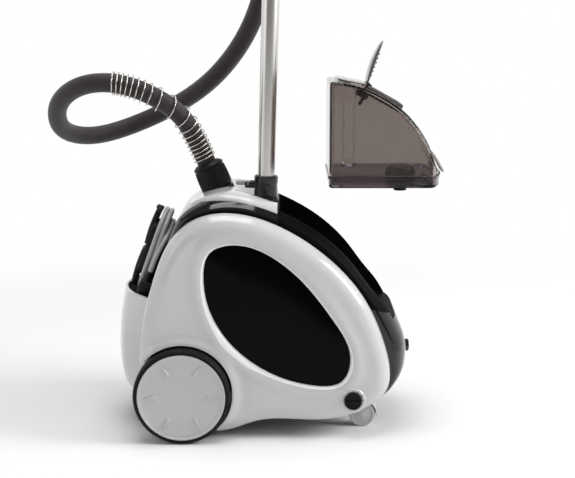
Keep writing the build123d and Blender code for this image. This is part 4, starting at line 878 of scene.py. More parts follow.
PAN_FLOOR, PAN_WALL, PAN_HALF = 24.0, 4.0, 86.0
PAN_SCREWS = ((-192, 60), (-100, 80), (40, 80), (112, 18))
TOWER_Y = 79.0             # middle of the towers that hold the axle


def make_base_pan():
    """Pan under the housing: it steps up over the casters and carries their sockets and the axle."""
    low, high = PAN_FLOOR, POCKET_ROOF
    under = [(-198, low), (58, low), (64, high), (118, high)]
    over = [(125, high + PAN_WALL), (60, high + PAN_WALL), (55, low + PAN_WALL), (-198, low + PAN_WALL)]
    side_view = softened(outline_of(*under, *over, under[0])[:-1], 1)
    pieces = [prism("pan", side_view, -PAN_HALF, PAN_HALF, 0.6, BASE_BLACK, steps=3)]
    socket = rounded([(4.1, high + 0.4), (8, high + 0.4), (8, STEM_TOP + 2), (4.1, STEM_TOP + 2)], 0.6, 2)
    for side in (-1, 1):
        place = (CASTER_STEM_X, side * CASTER[1], 0)
        pieces.append(lathe("socket", socket, place, (0, 0, 1), BASE_BLACK, 48))
        middle = side * TOWER_Y
        tower = cushion_box("tower", (WHEEL[0] - 11, middle - 11, 27),
                            (WHEEL[0] + 11, middle + 11, WHEEL[1] + 11), 1.5, BASE_BLACK)
        pieces.append(cut(tower, rod_across("bore", 5, WHEEL, -100, 100, BASE_BLACK)))
        for x in (-43, 48):
            pieces.append(cylinder("foot", 6, (x, side * 32, 27), (x, side * 32, 48), BASE_BLACK))
        for x in (77, 114):
            pieces.append(cylinder("post", 3, (x, side * 13, 45), (x, side * 13, 50), BASE_BLACK))
        for x, y in PAN_SCREWS:
            head = low if x < 60 else high
            screw = [(0, head + 0.9), (1.1, head + 0.9), (1.1, head + 0.2), (3.0, head - 0.2),
                     (3.6, head + 0.8), (3.6, head + 1.6), (0, head + 1.6)]
            pieces.append(lathe("screw", screw, (x, side * y, 0), (0, 0, 1), AXLE, 24, closed=False))
    pieces.append(cushion_box("switch_post", (121.6, -4, 45), (126, 4, 88), 0.6, BASE_BLACK, steps=2))
    pieces.append(cushion_box("switch_shelf", (121.6, -8, 86), (149, 8, 89), 0.6, BASE_BLACK, steps=2))
    return joined("base_pan_moulding", pieces)


fit(make_base_pan(), "body", "black_base", "base_pan")
fit(make_cradle(), "body", "black_matte_cradle", "tank_cradle")
fit(make_rear_panel(), "body", "white_housing", "rear_panel")
fit(make_centre_shell(), "body", "black_gloss_shell", "centre_shell")
side_shell = make_side_shell()
fit(mirrored(side_shell, "housing_side_left"), "body", "white_housing", "left_side_shell")
fit(side_shell, "body", "white_housing", "right_side_shell")
oval = make_oval_panel()
fit(mirrored(oval, "oval_panel_left"), "body", "black_gloss_shell", "side_panels")
fit(oval, "body", "black_gloss_shell", "side_panels")
fit(make_top_cover(), "body", "white_housing", "top_cover")


# ---------------------------------------------------------------- Geometry Nodes
def new_tree(name, kinds):
    """Geometry Nodes tree with named inputs of the given kinds; returns it with those inputs."""
    tree = bpy.data.node_groups.new(name, "GeometryNodeTree")
    tree.interface.new_socket("Geometry", in_out="INPUT", socket_type="NodeSocketGeometry")
    for label, kind in kinds.items():
        tree.interface.new_socket(label, in_out="INPUT", socket_type="NodeSocket" + kind)
    tree.interface.new_socket("Geometry", in_out="OUTPUT", socket_type="NodeSocketGeometry")
    return tree, tree.nodes.new("NodeGroupInput").outputs


def run_tree(piece, tree, last, look, sizes):
    """End a tree with real geometry in its finish, and give it to a piece with the sizes of its inputs."""
    real = add(tree, "GeometryNodeRealizeInstances", {"Geometry": last})
    painted = add(tree, "GeometryNodeSetMaterial", {"Geometry": real.outputs["Geometry"], "Material": look})
    result = tree.nodes.new("NodeGroupOutput")
    tree.links.new(painted.outputs["Geometry"], result.inputs["Geometry"])
    layer = piece.modifiers.new(tree.name, "NODES")
    layer.node_group = tree
    for socket in tree.interface.items_tree:
        if socket.in_out == "INPUT" and socket.name in sizes:
            layer[socket.identifier] = sizes[socket.name]


def repeated(first, count, centre=(0, 0, 0), axis=(0, 1, 0), turn=0.0, step=(0, 0, 0)):
    """Copies of a first piece, each turned about an axis through a point and moved one step on."""
    tree, given = new_tree("repeat", {"Count": "Int", "Centre": "Vector", "Axis": "Vector", "Turn": "Float",
                                      "Step": "Vector"})
    sizes = {"Count": count, "Centre": at(*centre), "Axis": Vector(axis), "Turn": math.radians(turn),
             "Step": Vector(step) / 1000}
    back = add(tree, "ShaderNodeVectorMath", {0: given["Centre"], "Scale": -1.0}, operation="SCALE")
    centred = add(tree, "GeometryNodeTransform",
                  {"Geometry": given["Geometry"], "Translation": back.outputs[0]})
    places = add(tree, "GeometryNodeMeshLine", {"Count": given["Count"], "Start Location": given["Centre"],
                                                "Offset": given["Step"]})
    number = add(tree, "GeometryNodeInputIndex").outputs["Index"]
    angle = add(tree, "ShaderNodeMath", {0: number, 1: given["Turn"]}, operation="MULTIPLY").outputs[0]
    turned = add(tree, "FunctionNodeAxisAngleToRotation", {"Axis": given["Axis"], "Angle": angle})
    copies = add(tree, "GeometryNodeInstanceOnPoints", {"Points": places.outputs["Mesh"],
                                                        "Instance": centred.outputs["Geometry"],
                                                        "Rotation": turned.outputs["Rotation"]})
    run_tree(first, tree, copies.outputs["Instances"], first.data.materials[0], sizes)
    return settled(first)


# ---------------------------------------------------------------- hose and its spring guard
HOSE_D = 27.0
HOSE_ROUTE = [NECK_TOP, (-131, -2, 411), (-157, -22, 455), (-227, -40, 492), (-290, -28, 490),
              (-334, 11, 458), (-340, 72, 411), (-295, 132, 396), (-213, 161, 423), (-134, 115, 468),
              (-84, 86, 517), (-48, 64, 576), (-27, 56, 650), (-20, 56, 725), (-18, 56, 800)]


def route_curve(name, route, resolution=16):
    """A cord's own NURBS line through its drawn route."""
    curve = bpy.data.curves.new(name, "CURVE")
    curve.dimensions = "3D"
    line = curve.splines.new("NURBS")
    line.points.add(len(route) - 1)
    for point, place_mm in zip(line.points, route):
        point.co = (*at(*place_mm), 1)
    line.order_u = 3
    line.use_endpoint_u = True
    curve.resolution_u = resolution
    return linked(name, curve)


def line_points(owner):
    """Points along a cord's line, read from its spline."""
    mesh = mesh_of(owner)
    points = [v.co.copy() for v in mesh.vertices]
    bpy.data.meshes.remove(mesh)
    return points


def frames_along(points, step):
    """Even points along a line, each with two cross directions that turn as little as they can."""
    points = np.array([tuple(p) for p in points])
    travelled = np.concatenate([[0], np.cumsum(np.linalg.norm(np.diff(points, axis=0), axis=1))])
    count = max(int(travelled[-1] / step), 2)
    wanted = np.linspace(0, travelled[-1], count + 1)
    even = np.stack([np.interp(wanted, travelled, points[:, k]) for k in range(3)], axis=1)
    for _ in range(3):
        even[1:-1] = (even[:-2] + 2 * even[1:-1] + even[2:]) / 4
    ahead = np.gradient(even, axis=0)
    ahead /= np.linalg.norm(ahead, axis=1)[:, None]
    side = Vector((0, 1, 0)).cross(Vector(ahead[0])).normalized()
    out = []
    for point, way in zip(even, ahead):
        way = Vector(way)
        side = (side - way * side.dot(way)).normalized()
        out.append((Vector(point), way, side, way.cross(side)))
    return out, travelled[-1]


def tube_skin(name, frames, radius, look):
    """Round tube over frames in metres, with a UV map that runs in metres round and along it."""
    around = 40
    shape = bmesh.new()
    uv = shape.loops.layers.uv.new("along")
    rings, far = [], 0.0
    distances = [0.0]
    for (a, *_), (b, *_) in zip(frames, frames[1:]):
        far += (b - a).length
        distances.append(far)
    for point, way, side, up in frames:
        rings.append([shape.verts.new(point + (side * math.cos(t) + up * math.sin(t)) * radius)
                      for t in (2 * math.pi * k / around for k in range(around))])
    girth = 2 * math.pi * radius
    for i in range(len(rings) - 1):
        for j in range(around):
            face = shape.faces.new((rings[i][j], rings[i][(j + 1) % around],
                                    rings[i + 1][(j + 1) % around], rings[i + 1][j]))
            for loop, (u, v) in zip(face.loops, ((j, i), (j + 1, i), (j + 1, i + 1), (j, i + 1))):
                loop[uv].uv = (u / around * girth, distances[v])
    shape.faces.new(list(reversed(rings[0])))
    shape.faces.new(rings[-1])
    bmesh.ops.recalc_face_normals(shape, faces=shape.faces)
    mesh = bpy.data.meshes.new(name)
    shape.to_mesh(mesh)
    shape.free()
    mesh.shade_smooth()
    mesh.set_sharp_from_angle(angle=math.radians(50))
    mesh.materials.append(look)
    return linked(name, mesh)


hose_line = route_curve("hose_line", HOSE_ROUTE)
hose_path = line_points(hose_line)
bpy.data.objects.remove(hose_line)
hose_frames, hose_reach = frames_along(hose_path, 0.003)
hose = tube_skin("steam_hose_cover", hose_frames, mm(HOSE_D / 2), HOSE)
GUARD_FROM, GUARD_TO = 0.004, 0.190    # distances along the hose


def make_spring():
    """Spring guard: a wire coil round the hose, closer wound at both ends, laid by Geometry Nodes."""
    part = [f for f, d in zip(hose_frames, np.linspace(0, hose_reach, len(hose_frames)))
            if GUARD_FROM < d < GUARD_TO]
    curve = bpy.data.curves.new("guard_line", "CURVE")
    curve.dimensions = "3D"
    line = curve.splines.new("POLY")
    line.points.add(len(part) - 1)
    for point, (where, *_) in zip(line.points, part):
        point.co = (*where, 1)
    owner = linked("hose_spring_guard", curve)
    sizes = {"Turns": 19.0, "Coil radius": mm(16.0), "Wire radius": mm(0.95), "Crowding": 0.10}
    tree, given = new_tree("wire_coil", dict.fromkeys(sizes, "Float"))
    even = add(tree, "GeometryNodeResampleCurve", {"Curve": given["Geometry"], "Count": 1400})
    share = add(tree, "GeometryNodeSplineParameter").outputs["Factor"]
    wave = add(tree, "ShaderNodeMath", {0: share, 1: 2 * math.pi}, operation="MULTIPLY")
    wave = add(tree, "ShaderNodeMath", {0: wave.outputs[0]}, operation="SINE")
    crowd = add(tree, "ShaderNodeMath", {0: wave.outputs[0], 1: given["Crowding"]}, operation="MULTIPLY")
    evenly = add(tree, "ShaderNodeMath", {0: share, 1: crowd.outputs[0]}, operation="ADD")
    turns = add(tree, "ShaderNodeMath", {0: evenly.outputs[0], 1: given["Turns"]}, operation="MULTIPLY")
    angle = add(tree, "ShaderNodeMath", {0: turns.outputs[0], 1: 2 * math.pi},
                operation="MULTIPLY").outputs[0]
    normal = add(tree, "GeometryNodeInputNormal").outputs["Normal"]
    tangent = add(tree, "GeometryNodeInputTangent").outputs["Tangent"]
    cross = add(tree, "ShaderNodeVectorMath", {0: tangent, 1: normal}, operation="CROSS_PRODUCT").outputs[0]
    reach = []
    for direction, trig in ((normal, "COSINE"), (cross, "SINE")):
        part_of = add(tree, "ShaderNodeMath", {0: angle}, operation=trig)
        size = add(tree, "ShaderNodeMath", {0: part_of.outputs[0], 1: given["Coil radius"]},
                   operation="MULTIPLY")
        reach.append(add(tree, "ShaderNodeVectorMath", {0: direction, "Scale": size.outputs[0]},
                         operation="SCALE").outputs[0])
    offset = add(tree, "ShaderNodeVectorMath", {0: reach[0], 1: reach[1]}, operation="ADD").outputs[0]
    coil = add(tree, "GeometryNodeSetPosition", {"Geometry": even.outputs["Curve"], "Offset": offset})
    wire = add(tree, "GeometryNodeCurvePrimitiveCircle", {"Resolution": 10, "Radius": given["Wire radius"]})
    solid = add(tree, "GeometryNodeCurveToMesh", {"Curve": coil.outputs["Geometry"],
                                                  "Profile Curve": wire.outputs["Curve"], "Fill Caps": True})
    run_tree(owner, tree, solid.outputs["Mesh"], SPRING, sizes)
    mesh = mesh_of(owner)
    bpy.data.objects.remove(owner)
    mesh.shade_smooth()
    mesh.set_sharp_from_angle(angle=math.radians(60))
    return linked("hose_spring_guard", mesh)


spring = make_spring()
fit(hose, "body", "hose_cover", "steam_hose")
fit(spring, "body", "spring_steel", "spring_guard")


# ---------------------------------------------------------------- rear wheels
RIM_R = 59.0
WHEEL_MIDDLE = (WHEEL[0], 0, WHEEL[1])


def from_face(*steps):
    """Radius and distance pairs, from pairs whose second value is the depth behind the wheel's face."""
    return [(radius, WHEEL_FACE - depth) for radius, depth in steps]


def make_tyre():
    """Solid tyre with rounded shoulders and two shallow grooves in its tread."""
    inner = WHEEL_FACE - 28
    profile = [(RIM_R, inner), *from_face((RIM_R, 1.8), (61.2, 1.4), (61.6, 0), (64.6, 0.8), (WHEEL_R, 4.5))]
    for groove in (WHEEL_FACE - 10, WHEEL_FACE - 18):
        profile += [(WHEEL_R, groove), (WHEEL_R - 1.2, groove - 0.6), (WHEEL_R - 1.2, groove - 1.8),
                    (WHEEL_R, groove - 2.4)]
    profile += [(WHEEL_R, inner + 4.5), (64.6, inner + 0.8), (61, inner)]
    return lathe("tyre_right", rounded(profile, 1.4), WHEEL_MIDDLE, (0, -1, 0), TYRE, 128)


def teardrop(name, tip, blunt, half, height, face, look):
    """Raised drop lying on a right-hand face, from its thin tip to its blunt end along X."""
    rows = []
    for level in np.linspace(0, math.pi / 2, 6):
        row = []
        for a in even_angles(32):
            share = (1 - math.cos(a)) / 2                       # 0 at the tip, 1 at the blunt end
            wide = half * math.sin(a) * max(share, 0.0) ** 1.3 * 1.3
            middle = tip + (blunt - tip) * 0.62
            x = tip + (blunt - tip) * share
            shrink = math.cos(level) * 0.96 + 0.04
            row.append((WHEEL[0] + middle + (x - middle) * shrink, face - height * math.sin(level),
                        WHEEL[1] + wide * shrink))
        rows.append(row)
    return skin(name, rows, look, caps=True, sharp=60)


def make_hub_cap():
    """Dished cap with a rolled rim and six raised drops round it."""
    rim = [(0, 3.9), (RIM_R, 3.9), (RIM_R, 1.6), (60.7, 1.2), (60.7, 0.5), (60.2, 0.1), (58.6, 0.1),
           (57.6, 1.2)]
    dish = [(56.4, 2.0), (50, 2.2), (42, 2.5), (34, 3.0), (24, 3.4), (12, 3.6), (0, 3.6)]
    profile = from_face(*rim, *dish)
    cap = lathe("cap", profile, WHEEL_MIDDLE, (0, -1, 0), CAP_WHITE, 128, closed=False, sharp=50)
    drop = teardrop("drop", 54.0, 33.0, 4.6, 3.0, -(WHEEL_FACE - 3.2), CAP_WHITE)
    drops = repeated(drop, 6, centre=WHEEL_MIDDLE, axis=(0, 1, 0), turn=60)
    return joined("hub_cap_right", [cap, drops])


right_tyre, right_cap = make_tyre(), make_hub_cap()
fit_pair(right_tyre, "tyre_left", "wheel", "tyres", "wheel_tyre")
fit_pair(right_cap, "hub_cap_left", "wheel", "white_wheel_caps", "hub_cap")

# ---------------------------------------------------------------- casters
CASTER_R, CASTER_WEB, CASTER_DISC, CASTER_PLAY = 18.5, 2.5, 6.0, 0.5


def make_caster_wheel():
    """Two discs with a raised rim and a domed hub, on one pin."""
    inner, outer = CASTER_WEB + CASTER_PLAY, CASTER_WEB + CASTER_PLAY + CASTER_DISC
    disc = [(0, inner), (17.6, inner), (CASTER_R, inner + 0.8), (CASTER_R, outer - 1.4),
            (17.9, outer - 0.4), (17.0, outer), (15.2, outer), (14.6, outer - 0.9), (6.5, outer - 0.7),
            (5.4, outer - 0.1), (0, outer)]
    centre = Vector((CASTER[0], -CASTER[1], CASTER[2]))
    pieces = [lathe("disc", disc, centre, (0, side, 0), CAP_WHITE, 72, closed=False) for side in (-1, 1)]
    reach = outer - 1
    pin = rod_across("pin", 2.0, CASTER[::2], -CASTER[1] - reach, -CASTER[1] + reach, AXLE, 0.2, 24)
    return joined("caster_wheel_right", [*pieces, pin])


def make_caster_fork():
    """Caster's hood with soft rims, the web between its discs, the neck and the stem."""
    hood_in, hood_out = CASTER_R + 1.6, CASTER_R + 3.6
    half = CASTER_WEB + CASTER_DISC + 2 * CASTER_PLAY
    low = math.asin(-2 / hood_out)
    sweep = np.linspace(low, math.pi - low, 60)
    arc = [(CASTER[0] + hood_out * math.cos(a), CASTER[2] + hood_out * math.sin(a)) for a in sweep]
    back = [(CASTER[0] + hood_in * math.cos(a), CASTER[2] + hood_in * math.sin(a)) for a in sweep[::-1]]
    hood = prism("hood", arc + back, -CASTER[1] - half, -CASTER[1] + half, 0.7, WHITE, steps=3)
    near, far = -CASTER[1] - CASTER_WEB, -CASTER[1] + CASTER_WEB
    boss = rod_across("boss", 5.0, CASTER[::2], near, far, WHITE, 0.3)
    web = [(CASTER[0] + hood_in * math.cos(a), CASTER[2] + hood_in * math.sin(a))
           for a in np.linspace(0, math.pi, 50)]
    web = prism("web", web, near, far, 0.3, WHITE, steps=2)
    neck = cylinder("neck", 9.0, (CASTER_STEM_X, -CASTER[1], 37.5),
                    (CASTER_STEM_X, -CASTER[1], POCKET_ROOF - 0.2), WHITE, 0.6)
    stem = cylinder("stem", 4.0, (CASTER_STEM_X, -CASTER[1], 39), (CASTER_STEM_X, -CASTER[1], STEM_TOP),
                    AXLE, 0.8)
    return joined("caster_fork_right", [hood, boss, web, neck, stem])


right_fork, right_roller = make_caster_fork(), make_caster_wheel()
fit_pair(right_fork, "caster_fork_left", "caster", "caster_hoods", "caster_fork")
fit_pair(right_roller, "caster_wheel_left", "roller", "caster_wheels", "caster_wheel")

# ---------------------------------------------------------------- dial and power button
DIAL_R, DIAL_FACE, BEZEL_R, BEZEL_FACE = 12.0, 127.0, 18.0, 121.0
DIAL_MIDDLE = (DIAL[0], 0, DIAL[1])


def make_dial():
    """Turned knob with a grooved skirt and a grip bar that carries its pointer line."""
    foot, skirt_r = 118.2, DIAL_R - 0.3
    profile = [(0, foot), (11.2, foot), (11.2, 120.5), (skirt_r, 121.2), (skirt_r, 125.6), (11.0, DIAL_FACE),
               (9.0, DIAL_FACE - 0.3), (0, DIAL_FACE - 0.6)]
    knob = lathe("knob", profile, DIAL_MIDDLE, (0, -1, 0), KNOB_BLACK, 96, closed=False)
    flute = cushion_box("flute", (DIAL[0] + 11.4, -125.4, DIAL[1] - 0.45),
                        (DIAL[0] + DIAL_R, -121.4, DIAL[1] + 0.45), 0.25, KNOB_BLACK, steps=2)
    flutes = repeated(flute, 36, centre=DIAL_MIDDLE, axis=(0, 1, 0), turn=10)
    bar = cushion_box("bar", (DIAL[0] - 10, -DIAL_FACE - 2, DIAL[1] - 2.5),
                      (DIAL[0] + 10, -DIAL_FACE + 1, DIAL[1] + 2.5), 1.1, KNOB_BLACK)
    pointer = cushion_box("pointer", (DIAL[0] - 9, -DIAL_FACE - 2, DIAL[1] - 0.5),
                          (DIAL[0] - 3, -DIAL_FACE - 1.5, DIAL[1] + 0.5), 0.2, CAP_WHITE, steps=2)
    shaft = rod_across("shaft", 3.0, DIAL, -118.5, -84, SATIN_BLACK, 0.4, 32)
    return joined("steam_dial_knob", [knob, flutes, bar, pointer, shaft])


def make_bezel():
    """White ring round the dial, with a scale of seven short marks."""
    profile = [(DIAL_R + 0.3, 118), (BEZEL_R, 118), (BEZEL_R, 119.2), (BEZEL_R - 1.6, BEZEL_FACE),
               (DIAL_R + 1.2, BEZEL_FACE), (DIAL_R + 0.3, BEZEL_FACE - 0.9)]
    ring = lathe("ring", rounded(profile, 0.5), DIAL_MIDDLE, (0, -1, 0), WHITE, 96)
    mark = cushion_box("mark", (DIAL[0] + 13.4, -BEZEL_FACE, DIAL[1] - 0.35),
                       (DIAL[0] + 15.6, -BEZEL_FACE + 0.3, DIAL[1] + 0.35), 0, PRINT)
    marks = repeated(mark, 7, centre=DIAL_MIDDLE, axis=(0, 1, 0), turn=-30)
    return joined("dial_bezel_ring", [ring, marks])


def make_button():
    """Round push button with a softly dished face."""
    tip, flange = 179.0, 161.8
    profile = [(0, flange - 2), (11, flange - 2), (11, flange), (9, flange + 0.6), (9, tip - 2.2),
               (8.4, tip - 0.7), (7.2, tip), (5.4, tip - 0.3), (0, tip - 0.8)]
    cap = lathe("cap", profile, (0, 0, BUTTON_Z), (1, 0, 0), SATIN_BLACK, 72, closed=False)
    z = BUTTON_Z - 2
    stem = cylinder("stem", 3.0, (152.3, 0, z), (flange - 1, 0, z), SATIN_BLACK, 0.3, 24)
    return joined("power_button_cap", [cap, stem])


fit(make_dial(), "dial", "black_controls", "steam_dial")
fit(make_bezel(), "body", "dial_bezel", "dial_bezel")
fit(make_button(), "button", "black_controls", "power_button")


# ---------------------------------------------------------------- power cord wound on its cleats
# In the cleats' frame: X to the left, Y down the slope, Z out of it.
CORD_D = 7.0
LEAD_ROUTE = [(-58, 22, 9), (-58, 4, 9), (-52, -14, 7), (-40, -29, 4.4)]
COIL_STRAIGHT = 22.0       # half the distance between the cleats' middles
LAYER_R, LEVELS = (25.2, 32.2, 39.2), (4.4, 11.4, 18.4)
# Turn at which each short move on the far side starts, with the layer and the level that it leads to.
MOVES = [(0.45, 0, 1), (1.45, 0, 2), (2.45, 1, 2), (3.30, 1, 1), (4.45, 2, 1), (5.30, 2, 2)]
MOVE_TURN, FIRST_TURN, LAST_TURN, TURN_STEPS = 0.15, 0.09, 6.37, 20
CORD_END = (45, -15, 15.5)


def on_racetrack(share, radius):
    """Point round both cleats, from the top of the left side on; share 1 is a whole turn."""
    side, end = 2 * COIL_STRAIGHT, math.pi * radius
    far = share % 1 * 2 * (side + end)
    if far < end:
        a = math.pi + far / radius
        return radius * math.cos(a), -COIL_STRAIGHT + radius * math.sin(a)
    if far < end + side:
        return radius, -COIL_STRAIGHT + far - end
    if far < 2 * end + side:
        a = (far - end - side) / radius
        return radius * math.cos(a), COIL_STRAIGHT + radius * math.sin(a)
    return -radius, COIL_STRAIGHT - (far - 2 * end - side)


def cord_route():
    """The cord's line: its lead, an inner layer, two layers over it and the way to the plug."""
    route = list(LEAD_ROUTE)
    for turn in np.linspace(FIRST_TURN, LAST_TURN, int((LAST_TURN - FIRST_TURN) * TURN_STEPS) + 1):
        radius, height = LAYER_R[0], LEVELS[0]
        for start, layer, level in MOVES:
            share = min(max((turn - start) / MOVE_TURN, 0), 1)
            radius += (LAYER_R[layer] - radius) * share
            height += (LEVELS[level] - height) * share
        route.append((*on_racetrack(turn, radius), height))
    return [*route, CORD_END]


cord = route_curve("power_cord", placed(CLEATS, cord_route()), resolution=5)
cord_points = line_points(cord)
CORD_LENGTH = sum((b - a).length for a, b in zip(cord_points, cord_points[1:]))
cord.data.bevel_depth = mm(CORD_D / 2)
cord.data.bevel_resolution = 4
cord.data.use_fill_caps = True
cord.data.materials.append(SHEATH)


def make_relief():
    """Tapered strain relief with grooves round it, on its foot."""
    u, v, w = LEAD_ROUTE[0]
    start = CLEATS @ Vector((u, v + 22, w))
    way = CLEATS.to_3x3() @ Vector((0, -1, 0))
    profile = [(0, -4), (6.5, -4), (6.5, 1.5)]
    for groove in range(5):
        near = 2.5 + groove * 3.6
        size = 6.4 - near * 0.085
        profile += [(size, near), (size - 1.1, near + 0.4), (size - 1.1, near + 1.5),
                    (size - 0.15, near + 1.9)]
    profile += [(4.5, 21.6), (4.1, 22), (0, 22)]
    boot = lathe("boot", profile, start, way, CUFF, 48, closed=False)
    foot = cushion_box("foot", (u - 9, v + 14, 0), (u + 9, v + 34, w + 9), 2.5, NYLON, CLEATS)
    return joined("cord_relief_boot", [boot, foot])


def make_plug():
    """Flat plug with a ribbed face, a boot that turns to the cord and two round pins."""
    body = cushion_box("body", (50, -19, 4), (76, 3, 22), 4, NYLON, CLEATS)
    grip = cushion_box("grip", (55, -15, 21.2), (56.2, -1, 22.7), 0.5, NYLON, CLEATS, steps=2)
    grips = repeated(grip, 5, step=CLEATS.to_3x3() @ Vector((3.4, 0, 0)))
    start = CLEATS @ Vector(CORD_END)
    end = CLEATS @ Vector((53, -10, 13.5))
    length = (end - start).length
    profile = [(0, -0.5), (4.0, -0.5), (4.2, 0.2)]
    for groove in range(3):
        near = 2 + groove * 4
        size = 4.4 + near * 0.11
        profile += [(size, near), (size - 0.8, near + 0.4), (size - 0.8, near + 1.6), (size + 0.1, near + 2)]
    profile += [(6.6, length), (0, length)]
    boot = lathe("boot", profile, start, end - start, NYLON, 40, closed=False)
    pins = []
    for v in (-14, -2):
        pins.append(cylinder("pin", 2.2, (75, v, 13), (94, v, 13), AXLE, 0.9, 32, CLEATS))
    return joined("cord_plug_body", [body, grips, boot, *pins])


LIP_FROM, LIP_LENGTH, LIP_HALF, LIP_THICK, LIP_BOW = 4.0, 58.0, 14.0, 4.4, 1.4
LIP_ROUND_FROM = 48.0      # from here on a lip narrows to its rounded end


def make_cleats():
    """Oblong drum with two curved lips that keep the cord on it."""
    core_r, height = 21.0, 30.0
    around = []
    for k in range(96):
        a = 2 * math.pi * k / 96
        end = math.copysign(COIL_STRAIGHT, math.sin(a))
        around.append((core_r * math.cos(a), end + core_r * math.sin(a)))
    rows = []
    for inset, w in ((1.0, 0), (0, 0.8), (0, height - 1), (1.0, height)):
        share = 1 - inset / core_r
        rows.append(placed(CLEATS, [(x * share, y * share, w) for x, y in around]))
    pieces = [skin("drum", rows, NYLON, caps=True)]
    for side in (-1, 1):
        rows = []
        for v in np.linspace(LIP_FROM, LIP_FROM + LIP_LENGTH, 30):
            rounding = math.sqrt(max(1 - ((v - LIP_ROUND_FROM) / 14.6) ** 2, 0.05))
            half = LIP_HALF * (min(1, rounding) if v > LIP_ROUND_FROM else 1)
            droop = LIP_BOW * ((v - LIP_FROM) / LIP_LENGTH) ** 2
            bow = LIP_BOW * math.sin(math.pi * (v - LIP_FROM) / LIP_LENGTH)
            middle = height - 1.0 - droop + bow
            row = []
            for a in even_angles(32):
                across, up = half * boxy(math.cos(a), 0.4), LIP_THICK * boxy(math.sin(a), 0.6)
                row.append((across, side * v, middle + up))
            rows.append(placed(CLEATS, row))
        pieces.append(skin("lip", rows, NYLON, caps=True))
        low, high = sorted((side * 57, side * 62))
        pieces.append(cushion_box("toe", (-7, low, height - 7), (7, high, height + 4), 2.0, NYLON, CLEATS))
    return joined("cord_cleats_moulding", pieces)


relief, plug = make_relief(), make_plug()
fit(cord, "body", "cord_sheath", "cord_lead", "cord_coil")
fit(relief, "body", "cleats_black", "cord_relief")
fit(plug, "body", "cleats_black", "cord_plug")
fit(make_cleats(), "body", "cleats_black", "cord_cleats")
at(*placed(CLEATS, LEAD_ROUTE)[0])


# ---------------------------------------------------------------- water tank, in its own frame
TANK_LENGTH, TANK_NOSE, TANK_HALF, TANK_WALL = 146.0, 160.0, 72.0, 2.5
TANK_TOP = [(0, 147), (28, 143), (57, 134), (82, 121), (103, 106), (122, 85), (137, 61), (148, 34), (160, 14)]
TANK_FOOT = 17.0           # where the clear shell sits on its base
TANK_CORNER_ROUNDS = 14    # of softening, which gives its upright corners a radius of about 7 mm
GRIP_FROM, GRIP_TO, GRIP_FOOT, GRIP_DEPTH = 17.0, 36.0, 34.0, 5.0   # recess in each side for the fingers
GRIP_SLOPE, GRIP_ROUND = 4.0, 9.0            # width of its sloping edges, radius of its lower end
FILLER_REACH = 62.0        # the filler's frame ends here
VALVE_X, VALVE_R, VALVE_FLANGE_R = 105.0, 9.5, 12.5
VALVE = TANK @ Vector((VALVE_X, 0, 0))
tank_crown = through(TANK_TOP, 400)


def tank_plan(inset):
    """Closed X, Y outline of the tank with its bowed front, drawn in by an inset."""
    side, back, front = TANK_HALF - inset, inset, TANK_LENGTH - inset
    nose = TANK_NOSE - inset
    bow = [(front + (nose - front) * (1 - (y / side) ** 2), y) for y in np.linspace(-side, side, 61)]
    flank = np.linspace(front, back, 98)[1:]
    rear = [(back, y) for y in np.linspace(side, -side, 58)[1:]]
    outline = np.array([*bow, *[(x, side) for x in flank], *rear, *[(x, -side) for x in flank[::-1][1:]]])
    return softened(outline, TANK_CORNER_ROUNDS)


def crown_height(x):
    return np.interp(x, tank_crown[:, 0], tank_crown[:, 1])


def grip_push(x, z):
    """Depth of the finger recess at a point of the tank's side."""
    across = np.clip(min(x - GRIP_FROM, GRIP_TO - x) / GRIP_SLOPE, 0, 1)
    middle, turn_at = (GRIP_FROM + GRIP_TO) / 2, GRIP_FOOT + 8
    corner = math.hypot(max(abs(x - middle) - 2, 0), max(turn_at - z, 0)) / GRIP_ROUND
    below = np.clip((1.15 - corner) * 2.5, 0, 1) if z < turn_at else 1.0
    return GRIP_DEPTH * across * across * (3 - 2 * across) * below


def tank_skin(inset, low, edge):
    """Rows of one skin of the clear shell: up its wall, round its upper edge and over its sloping top."""
    plan = tank_plan(inset)
    rows = []
    spine = np.stack([np.clip(plan[:, 0], 22, 128), np.zeros(len(plan))], axis=1)
    roof = crown_height(plan[:, 0] + inset) - inset

    def ring(points, heights):
        out = []
        for (x, y), z in zip(points, heights):
            push = grip_push(x, z) if abs(y) > TANK_HALF - inset - 1.5 else 0.0
            out.append((x, y - math.copysign(push, y), z))
        return out

    for share in np.linspace(0, 1, 36):
        rows.append(ring(plan, low + (roof - edge - low).clip(0.2) * share))
    for a in np.linspace(0, math.pi / 2, 6)[1:]:
        small = tank_plan(inset + edge * (1 - math.cos(a)))
        roofs = crown_height(small[:, 0] + inset) - inset
        rows.append(ring(small, roofs - edge * (1 - math.sin(a))))
    last = np.array([(x, y) for x, y, z in rows[-1]])
    for share in np.linspace(0, 0.97, 24)[1:]:
        points = last * (1 - share) + spine * share
        rows.append([(x, y, z) for (x, y), z in zip(points, crown_height(points[:, 0] + inset) - inset)])
    return rows


